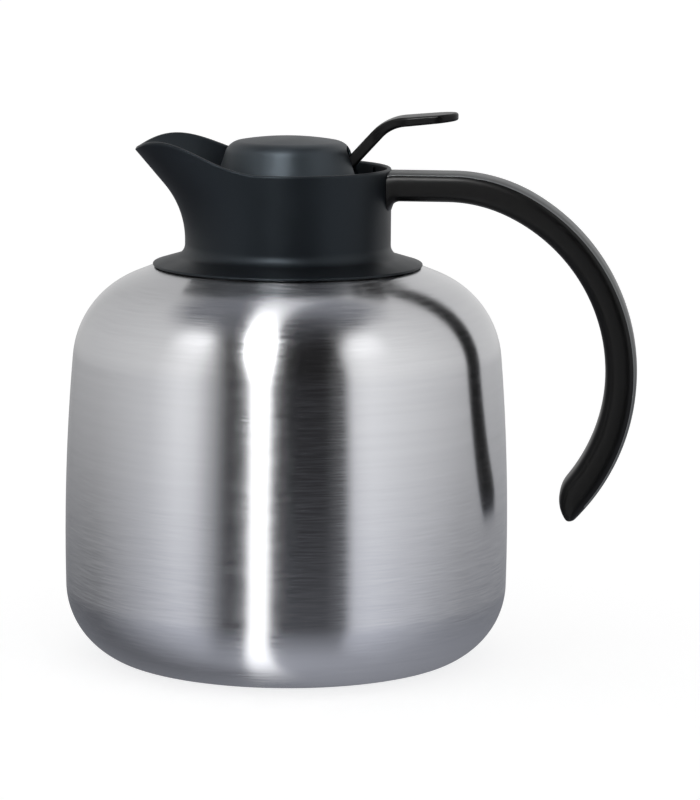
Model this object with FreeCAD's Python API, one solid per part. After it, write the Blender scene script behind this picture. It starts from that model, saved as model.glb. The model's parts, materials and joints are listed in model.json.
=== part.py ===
import FreeCAD, Part
import math
import os

# Insulated jug. Millimetres, +Z up, handle towards +X, spout towards -X. The pieces are made
# about the axis of the body, then moved so that the origin is on the table under the middle
# of the whole jug.

# Steel body, outside
BODY_R = 80.0               # radius at the belly
BELLY_Z = 42.4              # height of the belly
SIDE_ARC_R = 760.0          # gentle barrel of the side
BASE_UPPER_R = 28.0         # round between side and base, upper arc
BASE_LOWER_R = 14.0         # and lower arc
BASE_TURN = 60.5            # degrees below level where the two arcs meet
SHOULDER_ARC_R = 34.0       # round between side and shoulder
SHOULDER_SLOPE = 22.0       # degrees, cone at the edge of the collar
SHOULDER_Z = 140.8          # height of that cone under the edge of the flange
CROWN_SLOPE = 8.0           # degrees, flatter cone under the collar
CROWN_IN = 1.9              # flatter cone starts this far inside the edge of the flange
STAND_RING_W = 5.0          # flat ring that stands on the table
NECK_R = 30.0               # outside of the steel neck
NECK_RISE = 13.4            # neck above the foot of the flatter cone
NECK_CORNER_R = 2.0         # round between cone and neck
BEAD_OUT = 0.7              # rolled bead on the neck, how far it stands out
BEAD_HALF_H = 1.4           # half height of the bead
BEAD_BELOW_TOP = 3.6        # bead below the top of the neck
SHELL_T = 0.6               # outer sheet

# Steel liner and vacuum
LINER_T = 0.5
NECK_RIM_W = 2.8            # from the outside of the neck to the inside of the liner
VACUUM_GAP = 7.5
PAN_RECESS = 4.0            # base plate above the table
PAN_T = 0.8
PAN_FLANGE_IN = 1.0         # flange of the base plate inside the round of the shell
EVACUATION_HOLE_R = 1.2
SOLDER_R = 4.0
SOLDER_H = 1.6
GETTER_R = 5.0
GETTER_H = 2.2
GETTER_OFFSET = 16.0        # from the axis

# Collar
GASKET_T = 1.5
FLANGE_EDGE_R = 48.4        # flange of the collar over the shoulder
FLANGE_GAP = 0.5            # between flange and shoulder
FLANGE_EDGE_T = 0.95
FLANGE_SLOPE = 16.0         # degrees, upper face of the flange
FLANGE_ROUND_R = 4.5        # round between flange and neck of the collar
COLLAR_OUT = 6.9            # collar outside the steel neck
COLLAR_WALL = 2.2           # at the foot of the neck
RIM_WALL = 1.6              # at the pouring rim
SLEEVE_FIT = 0.3            # sleeve over steel neck, radial
SLEEVE_WALL = 2.7
LEDGE_IN = 2.2              # ledge of the collar inside the liner neck
LEDGE_T = 2.0
THROAT_H = 8.0
RIM_ABOVE_LEDGE = 15.4
FLOOR_T = 2.0               # funnel floor above the hollow of the collar
INDEX_RIB_ANGLE = 35.0      # degrees from the handle
INDEX_RIB_W = 1.2
INDEX_RIB_OUT = 0.6
INDEX_RIB_BELOW_RIM = 1.5

# Spout
SPOUT_START_BELOW_RIM = 26.3
SPOUT_ARC_R = 30.0          # front line leaves the neck on this arc
SPOUT_FLARE = 41.5          # degrees from vertical, upper front line
SPOUT_LEAVE_ANGLE = 80.0    # degrees from the front, where the beak leaves the neck
BEAK_OUT = 18.7             # front of the beak from the neck of the collar
BEAK_SIDE_FULLNESS = 0.88   # handle of the plan curve at the neck, in neck radii
BEAK_NOSE_FULLNESS = 0.38   # handle of the plan curve at the nose, in neck radii
LIP_START = 6.0             # where the rim begins to rise
LIP_MID = 24.0
LIP_MID_RISE = 3.9
LIP_CREST = 45.5
LIP_CREST_RISE = 9.9
LIP_TIP_RISE = 6.1
SPOUT_SECTIONS = 8

# Stopper and thread
SEAL_T = 2.0
SEAL_W = 2.5                # seal outside the bore of the ledge
SEAL_PLAY = 0.05            # between stopper flange and seal
SEAL_BORE_FIT = 0.3
PLUG_PLAY = 0.6             # stopper in the ledge, radial
PLUG_DEPTH = 20.9           # below the ledge
PLUG_CHAMFER = 1.0
SEAL_PAST_FLANGE = 0.2
STOPPER_FLANGE_T = 5.0
CUP_WALL = 4.2
CUP_FLOOR_T = 2.0
SEAT_HOLE_R = 11.0
SEAT_LIP_R = 12.5
SEAT_LIP_H = 0.8
GUIDE_R = 21.2
GUIDE_T = 2.0
GUIDE_FIT = 0.2
PORT_H = 3.0                # pouring gap between stopper flange and dome
PILLAR_COUNT = 4
PILLAR_SPAN = 30.0          # degrees
PILLAR_OVERLAP = 2.5        # pillars inside the dome
THREAD_STARTS = 4
THREAD_LEAD = 24.0
LUG_SPAN = 30.0             # degrees
LUG_T = 1.6
LUG_GAP = 0.4               # axial gap between the two sets of lugs
LUG_H = 1.8                 # lugs of the stopper from its flange
LUG_TIP_GAP = 0.6           # flange of the stopper inside the lugs of the collar
THROAT_GAP = 0.4            # lugs of the stopper inside the throat
LUG_ROOT = 0.3              # lug sunk into its wall
LUG_MID_ABOVE_LEDGE = 6.1   # middle of the collar lugs

# Dome
DOME_R = 25.0
DOME_WALL = 1.8
DOME_STRAIGHT_H = 3.0       # upright foot of the dome, round the pillars
DOME_LEAN = 18.0            # degrees, side of the dome above its foot
DOME_SIDE_H = 7.6           # height of the leaning side
DOME_CORNER_R = 6.0
DOME_CROWN_ANGLE = 10.0     # degrees, where corner and crown meet
DOME_FIT = 0.05             # pillars in the dome
SLOT_FRONT_X = 20.6
SLOT_SIDE_GAP = 0.8

# Lever
PIVOT_X = 16.5
PIVOT_ABOVE_DOME_FOOT = 5.1
PIN_R = 1.5
PIN_RUN_FIT = 0.05          # lever on its pin, radial
HUB_R = 3.4
ROOT_W = 9.0                # lever at hub and slot
PAD_W = 16.5
ARM_T = 4.2
PAD_T = 2.8
ARM_TILT = 47.5             # degrees
PAD_TILT = 5.6              # degrees
BEND_OUT = 19.4             # bend from the pivot
BEND_UP = 16.7
LEVER_REACH = 60.7          # end of the pad from the axis
BEND_UPPER_R = 18.0
BEND_LOWER_R = 13.0
PAD_EDGE_R = 0.9
FLARE_START = 12.5          # widening of the lever from the pivot
FLARE_END = 28.0
FLARE_EASE = 0.45           # handle of the flare curve, in flare lengths
FORK_T = 2.4
FORK_TIP_X = -3.4
FORK_ROOT_X = 10.0
EAR_T = 2.2
EAR_GAP = 0.4

# Valve
STEM_R = 2.4
STEM_RUN_FIT = 0.1
STEM_FORK_GAP = 0.35
CROSS_PIN_R = 1.0
CROSS_PIN_LIFT_GAP = 0.3
CROSS_PIN_HALF_L = 4.4
STEM_ABOVE_PIN = 2.2
STEM_TIP_CHAMFER = 0.5
VALVE_R = 15.0
VALVE_T = 2.2
VALVE_SEAL_T = 1.4
VALVE_SEAL_IN_R = 9.5
VALVE_SEAL_OUT_R = 14.5
VALVE_PLAY = 0.05
BOSS_R = 5.0
BOSS_H = 5.6
STEM_SOCKET_DEPTH = 7.0
GUIDE_BOSS_H = 2.0
WINDOW_IN_R = 6.5
WINDOW_OUT_R = 17.5
WINDOW_SPAN = 100.0         # degrees
WINDOW_MID = 110.0          # degrees from the lever side
SPRING_R = 7.0
SPRING_WIRE_R = 0.6
SPRING_TURNS = 6
SPRING_PLAY = 0.05

# Handle
HANDLE_BELOW_RIM = 0.8
HANDLE_ROOT_T = 10.6
HANDLE_T = 11.3             # at its widest reach
HANDLE_W = 19.0
FINGER_GAP = 34.4           # belly to handle
HANDLE_OUTER_R = 74.3       # main arc of the outer line
HANDLE_INNER_LESS = 12.6    # main arc of the inner line, tighter by this
OUTER_LEAD_LESS = 15.3      # lead arc of the outer line, tighter than its main arc
INNER_LEAD_LESS = 11.7      # lead arc of the inner line, tighter than its main arc
OUTER_TURN = 59.6           # degrees above level where lead and main arc meet
INNER_TURN = 66.1
HANDLE_END_GAP = 18.7       # belly to the cut end
HANDLE_END_UPPER_R = 6.0
HANDLE_TIP_R = 3.6
HANDLE_EDGE_R = 3.2
HANDLE_FLARE_R = 3.5        # round under the root
HANDLE_SEAM = 0.15          # handle to collar
COVER_T = 2.5
COVER_W = 16.2
COVER_FIT = 0.2
COVER_END_ANGLE = -40.0     # degrees on the outer arc
CORE_W = 11.0
CORE_DEPTH = 6.4
CORE_END_ANGLE = -32.0      # degrees on the outer arc
TENON_FIT = 0.2
TENON_OUT = 17.1            # end of the tenon from the neck of the collar
SCREW_OUT = (7.1, 13.6)     # screws from the neck of the collar
SCREW_R = 1.4
SCREW_HEAD_R = 2.8
SCREW_HEAD_H = 1.5
SCREW_SEAT_T = 1.6          # handle floor under the tenon that the screw holds
SCREW_TIP_COVER = 0.4       # tenon left above the screw tip
HEAD_HOLE_R = 3.1
RECESS_W = 0.8
RECESS_L = 3.4
RECESS_H = 0.8
PAST = 1.0                  # cutters run this far past the faces they cut
NEAR = 0.1                  # edges this close to a place are at it

Z_AXIS = FreeCAD.Vector(0, 0, 1)
ORIGIN = FreeCAD.Vector(0, 0, 0)


def sin_deg(angle):
    return math.sin(math.radians(angle))


def cos_deg(angle):
    return math.cos(math.radians(angle))


def tan_deg(angle):
    return math.tan(math.radians(angle))


def at(x, z):
    return FreeCAD.Vector(x, 0, z)


def line(a, b):
    return Part.LineSegment(at(*a), at(*b)).toShape()


def arc_three(a, middle, b):
    return Part.Arc(at(*a), at(*middle), at(*b)).toShape()


def on_circle(centre, radius, angle):
    return (centre[0] + radius * cos_deg(angle), centre[1] + radius * sin_deg(angle))


def arc(centre, radius, start, end):
    middle = (start + end) / 2
    points = [on_circle(centre, radius, angle) for angle in (start, middle, end)]
    return arc_three(*points)


def direction(a, b):
    return math.degrees(math.atan2(b[1] - a[1], b[0] - a[0]))


def closed_lines(points):
    return [line(a, b) for a, b in zip(points, points[1:] + points[:1])]


def face_of(edges):
    return Part.Face(Part.Wire(Part.__sortEdges__(edges)))


def revolve(edges):
    return face_of(edges).revolve(ORIGIN, Z_AXIS, 360)


def across(edges, width):
    face = face_of(edges)
    face.translate(FreeCAD.Vector(0, -width / 2, 0))
    return face.extrude(FreeCAD.Vector(0, width, 0))


def ring(inner, outer, low, high):
    return revolve(closed_lines([(inner, low), (outer, low), (outer, high), (inner, high)]))


def cylinder(radius, low, high, x=0.0):
    return Part.makeCylinder(radius, high - low, at(x, low), Z_AXIS)


def cross_cylinder(radius, half_length, x, z):
    start = FreeCAD.Vector(x, -half_length, z)
    return Part.makeCylinder(radius, 2 * half_length, start, FreeCAD.Vector(0, 1, 0))


def box(x0, x1, y0, y1, z0, z1):
    return Part.makeBox(x1 - x0, y1 - y0, z1 - z0, FreeCAD.Vector(x0, y0, z0))


def sector(inner, outer, low, high, middle, span):
    corners = [(inner, low), (outer, low), (outer, high), (inner, high)]
    piece = face_of(closed_lines(corners)).revolve(ORIGIN, Z_AXIS, span)
    piece.rotate(ORIGIN, Z_AXIS, middle - span / 2)
    return piece


def edges_across(solid, x, z, least):
    found = []
    for edge in solid.Edges:
        centre = edge.CenterOfMass
        if len(edge.Vertexes) == 2 and abs(edge.Vertexes[0].Y - edge.Vertexes[1].Y) > least:
            if math.hypot(centre.x - x, centre.z - z) < NEAR:
                found.append(edge)
    return found


# Body outline: side arc, the two base arcs and the shoulder arc touch each other; the
# shoulder runs into a cone and a flatter one. A depth moves the whole outline inwards.
SIDE_MID = (BODY_R - SIDE_ARC_R, BELLY_Z)
CORNER_MID_Z = BASE_LOWER_R + (BASE_UPPER_R - BASE_LOWER_R) * sin_deg(BASE_TURN)
CORNER_REACH = SIDE_ARC_R - BASE_UPPER_R
CORNER_MID = (SIDE_MID[0] + math.sqrt(CORNER_REACH ** 2 - (CORNER_MID_Z - BELLY_Z) ** 2), CORNER_MID_Z)
FOOT_MID = on_circle(CORNER_MID, BASE_UPPER_R - BASE_LOWER_R, -BASE_TURN)
CONE_UP = 90 - SHOULDER_SLOPE
CROWN_UP = 90 - CROWN_SLOPE
CROWN_EDGE = (FLANGE_EDGE_R - CROWN_IN, SHOULDER_Z + CROWN_IN * tan_deg(SHOULDER_SLOPE))


def crown_edge(depth):
    return on_circle(CROWN_EDGE, -depth / cos_deg((CROWN_UP - CONE_UP) / 2), (CONE_UP + CROWN_UP) / 2)


def cone_z(r, depth=0.0):
    return CROWN_EDGE[1] + (CROWN_EDGE[0] - r) * tan_deg(CROWN_SLOPE) - depth / cos_deg(CROWN_SLOPE)


def shoulder_mid():
    foot = on_circle((FLANGE_EDGE_R, SHOULDER_Z), -SHOULDER_ARC_R, CONE_UP)
    run = (cos_deg(SHOULDER_SLOPE), -sin_deg(SHOULDER_SLOPE))
    gap = (foot[0] - SIDE_MID[0], foot[1] - SIDE_MID[1])
    half_b = gap[0] * run[0] + gap[1] * run[1]
    c = gap[0] ** 2 + gap[1] ** 2 - (SIDE_ARC_R - SHOULDER_ARC_R) ** 2
    reach = -half_b + math.sqrt(half_b ** 2 - c)
    return (foot[0] + reach * run[0], foot[1] + reach * run[1])


SHOULDER_MID = shoulder_mid()
LINER_BORE_R = NECK_R - NECK_RIM_W
LEDGE_BORE_R = LINER_BORE_R - LEDGE_IN
PLUG_R = LEDGE_BORE_R - PLUG_PLAY
CUP_R = PLUG_R - CUP_WALL
SEAL_R = LEDGE_BORE_R + SEAL_W
STOPPER_FLANGE_R = SEAL_R - SEAL_PAST_FLANGE
COLLAR_LUG_BORE_R = STOPPER_FLANGE_R + LUG_TIP_GAP
STOPPER_LUG_R = STOPPER_FLANGE_R + LUG_H
THROAT_R = STOPPER_LUG_R + THROAT_GAP
COLLAR_R = NECK_R + COLLAR_OUT
BEAK_REACH = COLLAR_R + BEAK_OUT
TENON_END_X = COLLAR_R + TENON_OUT
SCREW_X = [COLLAR_R + out for out in SCREW_OUT]
NECK_TOP_Z = cone_z(NECK_R) + NECK_RISE
BEAD_Z = NECK_TOP_Z - BEAD_BELOW_TOP


def neck_corner_mid(depth, neck_r, corner_r):
    mid_r = neck_r + corner_r
    return (mid_r, cone_z(mid_r, depth) + corner_r / cos_deg(CROWN_SLOPE))


def wall_outline(depth, foot_r, neck_r, corner_r):
    low_turn = direction(SIDE_MID, CORNER_MID)
    high_turn = direction(SIDE_MID, SHOULDER_MID)
    corner = neck_corner_mid(depth, neck_r, corner_r)
    cone_start = on_circle(SHOULDER_MID, SHOULDER_ARC_R - depth, CONE_UP)
    crown_end = on_circle(corner, -corner_r, CROWN_UP)
    edges = [line((foot_r, depth), (FOOT_MID[0], depth))]
    edges.append(arc(FOOT_MID, BASE_LOWER_R - depth, -90, -BASE_TURN))
    edges.append(arc(CORNER_MID, BASE_UPPER_R - depth, -BASE_TURN, low_turn))
    edges.append(arc(SIDE_MID, SIDE_ARC_R - depth, low_turn, high_turn))
    edges.append(arc(SHOULDER_MID, SHOULDER_ARC_R - depth, high_turn, CONE_UP))
    edges.append(line(cone_start, crown_edge(depth)))
    edges.append(line(crown_edge(depth), crown_end))
    edges.append(arc(corner, corner_r, 180 + CROWN_UP, 180))
    return edges, corner[1]


def beaded_line(radius, low, high):
    foot = (radius, BEAD_Z - BEAD_HALF_H)
    crest = (radius + BEAD_OUT, BEAD_Z)
    head = (radius, BEAD_Z + BEAD_HALF_H)
    return [line((radius, low), foot), arc_three(foot, crest, head), line(head, (radius, high))]


STAND_IN_R = FOOT_MID[0] - STAND_RING_W


def make_outer_shell():
    inside_r = NECK_R - SHELL_T
    outer, outer_z = wall_outline(0, STAND_IN_R, NECK_R, NECK_CORNER_R)
    inner, inner_z = wall_outline(SHELL_T, STAND_IN_R, inside_r, NECK_CORNER_R + SHELL_T)
    edges = outer + beaded_line(NECK_R, outer_z, NECK_TOP_Z)
    edges += inner + beaded_line(inside_r, inner_z, NECK_TOP_Z)
    edges.append(line((inside_r, NECK_TOP_Z), (NECK_R, NECK_TOP_Z)))
    edges.append(line((STAND_IN_R, 0), (STAND_IN_R, SHELL_T)))
    return revolve(edges)


LINER_DEPTH = SHELL_T + VACUUM_GAP
LINER_TOP_Z = NECK_TOP_Z + LINER_T


def liner_inside():
    return wall_outline(LINER_DEPTH + LINER_T, 0, LINER_BORE_R, NECK_CORNER_R + LINER_T)


def liner_volume_outline():
    inner, inner_z = liner_inside()
    bottom = LINER_DEPTH + LINER_T
    edges = inner + [line((LINER_BORE_R, inner_z), (LINER_BORE_R, LINER_TOP_Z))]
    edges.append(line((LINER_BORE_R, LINER_TOP_Z), (0, LINER_TOP_Z)))
    edges.append(line((0, LINER_TOP_Z), (0, bottom)))
    return edges


def make_inner_vessel():
    outside_r = LINER_BORE_R + LINER_T
    outer, outer_z = wall_outline(LINER_DEPTH, 0, outside_r, NECK_CORNER_R)
    inner, inner_z = liner_inside()
    edges = outer + [line((outside_r, outer_z), (outside_r, NECK_TOP_Z))]
    edges.append(line((outside_r, NECK_TOP_Z), (NECK_R, NECK_TOP_Z)))
    edges.append(line((NECK_R, NECK_TOP_Z), (NECK_R, LINER_TOP_Z)))
    edges.append(line((NECK_R, LINER_TOP_Z), (LINER_BORE_R, LINER_TOP_Z)))
    edges += inner + [line((LINER_BORE_R, inner_z), (LINER_BORE_R, LINER_TOP_Z))]
    edges.append(line((0, LINER_DEPTH), (0, LINER_DEPTH + LINER_T)))
    return revolve(edges)


PAN_TOP_Z = PAN_RECESS + PAN_T


def make_base_plate():
    foot_r = STAND_IN_R - PAN_FLANGE_IN
    flat_r = foot_r - (PAN_RECESS - SHELL_T)
    flange_r = FOOT_MID[0] - PAN_FLANGE_IN
    below = [(EVACUATION_HOLE_R, PAN_RECESS), (flat_r, PAN_RECESS), (foot_r, SHELL_T), (flange_r, SHELL_T)]
    above = [(r, z + PAN_T) for r, z in reversed(below)]
    return revolve(closed_lines(below + above))


def make_vacuum_seal():
    low = PAN_RECESS - SOLDER_H
    round_r = (SOLDER_R ** 2 + SOLDER_H ** 2) / (2 * SOLDER_H)
    mid = (0, low + round_r)
    rim_angle = direction(mid, (SOLDER_R, PAN_RECESS))
    edges = [arc(mid, round_r, -90, rim_angle)]
    edges.append(line((SOLDER_R, PAN_RECESS), (EVACUATION_HOLE_R, PAN_RECESS)))
    edges.append(line((EVACUATION_HOLE_R, PAN_RECESS), (EVACUATION_HOLE_R, PAN_TOP_Z)))
    edges.append(line((EVACUATION_HOLE_R, PAN_TOP_Z), (0, PAN_TOP_Z)))
    edges.append(line((0, PAN_TOP_Z), (0, low)))
    return revolve(edges)


def make_getter():
    return cylinder(GETTER_R, PAN_TOP_Z, PAN_TOP_Z + GETTER_H, GETTER_OFFSET)


# Heights of the collar, from the steel neck upwards
LEDGE_LOW_Z = LINER_TOP_Z + GASKET_T
LEDGE_Z = LEDGE_LOW_Z + LEDGE_T
FLOOR_Z = LEDGE_Z + THROAT_H
RIM_Z = LEDGE_Z + RIM_ABOVE_LEDGE
SPOUT_START_Z = RIM_Z - SPOUT_START_BELOW_RIM
LIP_TOP_Z = RIM_Z + LIP_CREST_RISE + PAST


def make_neck_gasket():
    return ring(LINER_BORE_R, NECK_R, LINER_TOP_Z, LEDGE_LOW_Z)


def spout_front(z):
    arc_height = SPOUT_ARC_R * sin_deg(SPOUT_FLARE)
    height = z - SPOUT_START_Z
    if height <= arc_height:
        return COLLAR_R + SPOUT_ARC_R - math.sqrt(SPOUT_ARC_R ** 2 - height ** 2)
    arc_out = SPOUT_ARC_R * (1 - cos_deg(SPOUT_FLARE))
    return COLLAR_R + arc_out + (height - arc_height) * tan_deg(SPOUT_FLARE)


def spout_section(z, wall):
    radius = COLLAR_R - wall
    front = spout_front(z) - wall / cos_deg(SPOUT_FLARE)
    leave = FreeCAD.Vector(-radius * cos_deg(SPOUT_LEAVE_ANGLE), radius * sin_deg(SPOUT_LEAVE_ANGLE), z)
    along = FreeCAD.Vector(-sin_deg(SPOUT_LEAVE_ANGLE), -cos_deg(SPOUT_LEAVE_ANGLE), 0)
    nose = FreeCAD.Vector(-front, 0, z)
    swell = (spout_front(z) - COLLAR_R) / (BEAK_REACH - COLLAR_R)
    round_handle = 4 / 3 * tan_deg(SPOUT_LEAVE_ANGLE / 4)
    side = radius * (round_handle + (BEAK_SIDE_FULLNESS - round_handle) * swell)
    tip = radius * (round_handle + (BEAK_NOSE_FULLNESS - round_handle) * swell)
    half = Part.BezierCurve()
    half.setPoles([leave, leave + along * side, nose + FreeCAD.Vector(0, tip, 0), nose])
    far = half.toShape()
    near = far.mirror(ORIGIN, FreeCAD.Vector(0, 1, 0))
    mirrored = FreeCAD.Vector(leave.x, -leave.y, z)
    rear = Part.Arc(mirrored, FreeCAD.Vector(radius, 0, z), leave).toShape()
    return Part.Wire(Part.__sortEdges__([rear, far, near]))


def round_section(z):
    radius = COLLAR_R
    leave = FreeCAD.Vector(-radius * cos_deg(SPOUT_LEAVE_ANGLE), radius * sin_deg(SPOUT_LEAVE_ANGLE), z)
    half_angle = SPOUT_LEAVE_ANGLE / 2
    between = FreeCAD.Vector(-radius * cos_deg(half_angle), radius * sin_deg(half_angle), z)
    nose = FreeCAD.Vector(-radius, 0, z)
    far = Part.Arc(leave, between, nose).toShape()
    near = far.mirror(ORIGIN, FreeCAD.Vector(0, 1, 0))
    mirrored = FreeCAD.Vector(leave.x, -leave.y, z)
    rear = Part.Arc(mirrored, FreeCAD.Vector(radius, 0, z), leave).toShape()
    return Part.Wire(Part.__sortEdges__([rear, far, near]))


def spout_outside():
    step = (LIP_TOP_Z - SPOUT_START_Z) / SPOUT_SECTIONS
    sections = [round_section(SPOUT_START_Z)]
    for index in range(1, SPOUT_SECTIONS + 1):
        sections.append(spout_section(SPOUT_START_Z + index * step, 0))
    return Part.makeLoft(sections, True, False)


def spout_inside():
    step = (LIP_TOP_Z + PAST - FLOOR_Z) / SPOUT_SECTIONS
    sections = []
    for index in range(SPOUT_SECTIONS + 1):
        sections.append(spout_section(FLOOR_Z + index * step, RIM_WALL))
    return Part.makeLoft(sections, True, False)


def rim_cutter():
    top = LIP_TOP_Z + 2 * PAST
    past_tip = BEAK_REACH + LIP_TOP_Z - RIM_Z
    fall = (LIP_CREST_RISE - LIP_TIP_RISE) / (BEAK_REACH - LIP_CREST) ** 2
    past_rise = LIP_CREST_RISE - fall * (past_tip - LIP_CREST) ** 2
    lip = Part.BSplineCurve()
    lip.interpolate(
        Points=[
            at(-LIP_START, RIM_Z),
            at(-LIP_MID, RIM_Z + LIP_MID_RISE),
            at(-LIP_CREST, RIM_Z + LIP_CREST_RISE),
            at(-BEAK_REACH, RIM_Z + LIP_TIP_RISE),
            at(-past_tip, RIM_Z + past_rise),
        ],
        InitialTangent=at(-1, 0),
        FinalTangent=at(-1, -2 * fall * (past_tip - LIP_CREST)),
    )
    edges = [lip.toShape()]
    edges.append(line((-past_tip, RIM_Z + past_rise), (-past_tip, top)))
    edges.append(line((-past_tip, top), (FLANGE_EDGE_R, top)))
    edges.append(line((FLANGE_EDGE_R, top), (FLANGE_EDGE_R, RIM_Z)))
    edges.append(line((FLANGE_EDGE_R, RIM_Z), (-LIP_START, RIM_Z)))
    return across(edges, 4 * COLLAR_R)


FLANGE_LOW_Z = SHOULDER_Z + FLANGE_GAP / cos_deg(SHOULDER_SLOPE)
HOLLOW_R = COLLAR_R - COLLAR_WALL
SLEEVE_R = NECK_R + SLEEVE_FIT


def collar_foot():
    top_z = FLANGE_LOW_Z + FLANGE_EDGE_T
    round_r = COLLAR_R + FLANGE_ROUND_R
    rise = FLANGE_ROUND_R / cos_deg(FLANGE_SLOPE)
    round_mid = (round_r, top_z + (FLANGE_EDGE_R - round_r) * tan_deg(FLANGE_SLOPE) + rise)
    round_end = on_circle(round_mid, -FLANGE_ROUND_R, 90 - FLANGE_SLOPE)
    under_z = cone_z(HOLLOW_R, -FLANGE_GAP)
    edges = [line((0, SPOUT_START_Z), (COLLAR_R, SPOUT_START_Z))]
    edges.append(line((COLLAR_R, SPOUT_START_Z), (COLLAR_R, round_mid[1])))
    edges.append(arc(round_mid, FLANGE_ROUND_R, 180, 270 - FLANGE_SLOPE))
    edges.append(line(round_end, (FLANGE_EDGE_R, top_z)))
    edges.append(line((FLANGE_EDGE_R, top_z), (FLANGE_EDGE_R, FLANGE_LOW_Z)))
    edges.append(line((FLANGE_EDGE_R, FLANGE_LOW_Z), crown_edge(-FLANGE_GAP)))
    edges.append(line(crown_edge(-FLANGE_GAP), (HOLLOW_R, under_z)))
    edges.append(line((HOLLOW_R, under_z), (0, under_z)))
    edges.append(line((0, under_z), (0, SPOUT_START_Z)))
    return revolve(edges)


def collar_hollow():
    low = cone_z(HOLLOW_R) - PAST
    sleeve_low = neck_corner_mid(0, NECK_R, NECK_CORNER_R)[1] + SLEEVE_FIT
    sleeve_out = SLEEVE_R + SLEEVE_WALL
    hollow_top = FLOOR_Z - FLOOR_T
    edges = [line((0, low), (HOLLOW_R, low))]
    edges.append(line((HOLLOW_R, low), (HOLLOW_R, hollow_top)))
    edges.append(line((HOLLOW_R, hollow_top), (sleeve_out, hollow_top)))
    edges.append(line((sleeve_out, hollow_top), (sleeve_out, sleeve_low)))
    edges.append(line((sleeve_out, sleeve_low), (SLEEVE_R, sleeve_low)))
    edges += beaded_line(SLEEVE_R, sleeve_low, LEDGE_LOW_Z)
    edges.append(line((SLEEVE_R, LEDGE_LOW_Z), (LEDGE_BORE_R, LEDGE_LOW_Z)))
    edges.append(line((LEDGE_BORE_R, LEDGE_LOW_Z), (LEDGE_BORE_R, LEDGE_Z)))
    edges.append(line((LEDGE_BORE_R, LEDGE_Z), (THROAT_R, LEDGE_Z)))
    edges.append(line((THROAT_R, LEDGE_Z), (THROAT_R, FLOOR_Z + PAST)))
    edges.append(line((THROAT_R, FLOOR_Z + PAST), (0, FLOOR_Z + PAST)))
    edges.append(line((0, FLOOR_Z + PAST), (0, low)))
    return revolve(edges)


def thread_lug(inner, outer, middle_z, middle_angle):
    rise = THREAD_LEAD * LUG_SPAN / 360
    path = Part.makeHelix(THREAD_LEAD, rise, inner)
    corners = [(inner, -LUG_T / 2), (outer, -LUG_T / 2), (outer, LUG_T / 2), (inner, LUG_T / 2)]
    outline = Part.Wire(closed_lines(corners))
    lug = Part.Wire(path).makePipeShell([outline], True, True)
    lug.translate(at(0, middle_z - rise / 2))
    lug.rotate(ORIGIN, Z_AXIS, middle_angle - LUG_SPAN / 2)
    return lug


def lug_ring(inner, outer, middle_z):
    turn = 360 / THREAD_STARTS
    return [thread_lug(inner, outer, middle_z, turn * (index + 0.5)) for index in range(THREAD_STARTS)]


COLLAR_LUG_Z = LEDGE_Z + LUG_MID_ABOVE_LEDGE
HANDLE_TOP_Z = RIM_Z - HANDLE_BELOW_RIM
TENON_LOW_Z = HANDLE_TOP_Z - CORE_DEPTH
TENON_HIGH_Z = HANDLE_TOP_Z - COVER_T - COVER_FIT - TENON_FIT


def make_collar():
    solid = collar_foot().fuse(spout_outside())
    solid = solid.cut(collar_hollow())
    solid = solid.cut(spout_inside())
    solid = solid.cut(rim_cutter())
    tenon_half = CORE_W / 2 - TENON_FIT
    tenon_start = COLLAR_R - RIM_WALL / 2
    tenon = box(tenon_start, TENON_END_X, -tenon_half, tenon_half, TENON_LOW_Z, TENON_HIGH_Z)
    rib_in = COLLAR_R - RIM_WALL - INDEX_RIB_OUT
    rib_top = RIM_Z - INDEX_RIB_BELOW_RIM
    rib = box(rib_in, COLLAR_R - RIM_WALL / 2, -INDEX_RIB_W / 2, INDEX_RIB_W / 2, FLOOR_Z, rib_top)
    rib.rotate(ORIGIN, Z_AXIS, INDEX_RIB_ANGLE)
    lugs = lug_ring(COLLAR_LUG_BORE_R, THROAT_R + LUG_ROOT, COLLAR_LUG_Z)
    solid = solid.fuse([tenon, rib] + lugs)
    for x in SCREW_X:
        solid = solid.cut(cylinder(SCREW_R, TENON_LOW_Z - PAST, TENON_HIGH_Z - SCREW_TIP_COVER, x))
    return solid


# Handle outline in the plane of the handle: a level root, a lead arc and a main arc
OUTER_REACH = BODY_R + FINGER_GAP + HANDLE_T
HANDLE_UNDER_Z = HANDLE_TOP_Z - HANDLE_ROOT_T
HANDLE_END_X = BODY_R + HANDLE_END_GAP
HANDLE_INNER_R = HANDLE_OUTER_R - HANDLE_INNER_LESS
OUTER_LEAD_R = HANDLE_OUTER_R - OUTER_LEAD_LESS
INNER_LEAD_R = HANDLE_INNER_R - INNER_LEAD_LESS
ROOT_X = COLLAR_R - HANDLE_T / 2


def main_mid(reach, main_r, less, turn, level_z):
    return (reach - main_r, level_z - main_r + less * (1 - sin_deg(turn)))


OUTER_MID = main_mid(OUTER_REACH, HANDLE_OUTER_R, OUTER_LEAD_LESS, OUTER_TURN, HANDLE_TOP_Z)
INNER_MID = main_mid(BODY_R + FINGER_GAP, HANDLE_INNER_R, INNER_LEAD_LESS, INNER_TURN, HANDLE_UNDER_Z)
OUTER_LEAD = on_circle(OUTER_MID, OUTER_LEAD_LESS, OUTER_TURN)
INNER_LEAD = on_circle(INNER_MID, INNER_LEAD_LESS, INNER_TURN)


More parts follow.
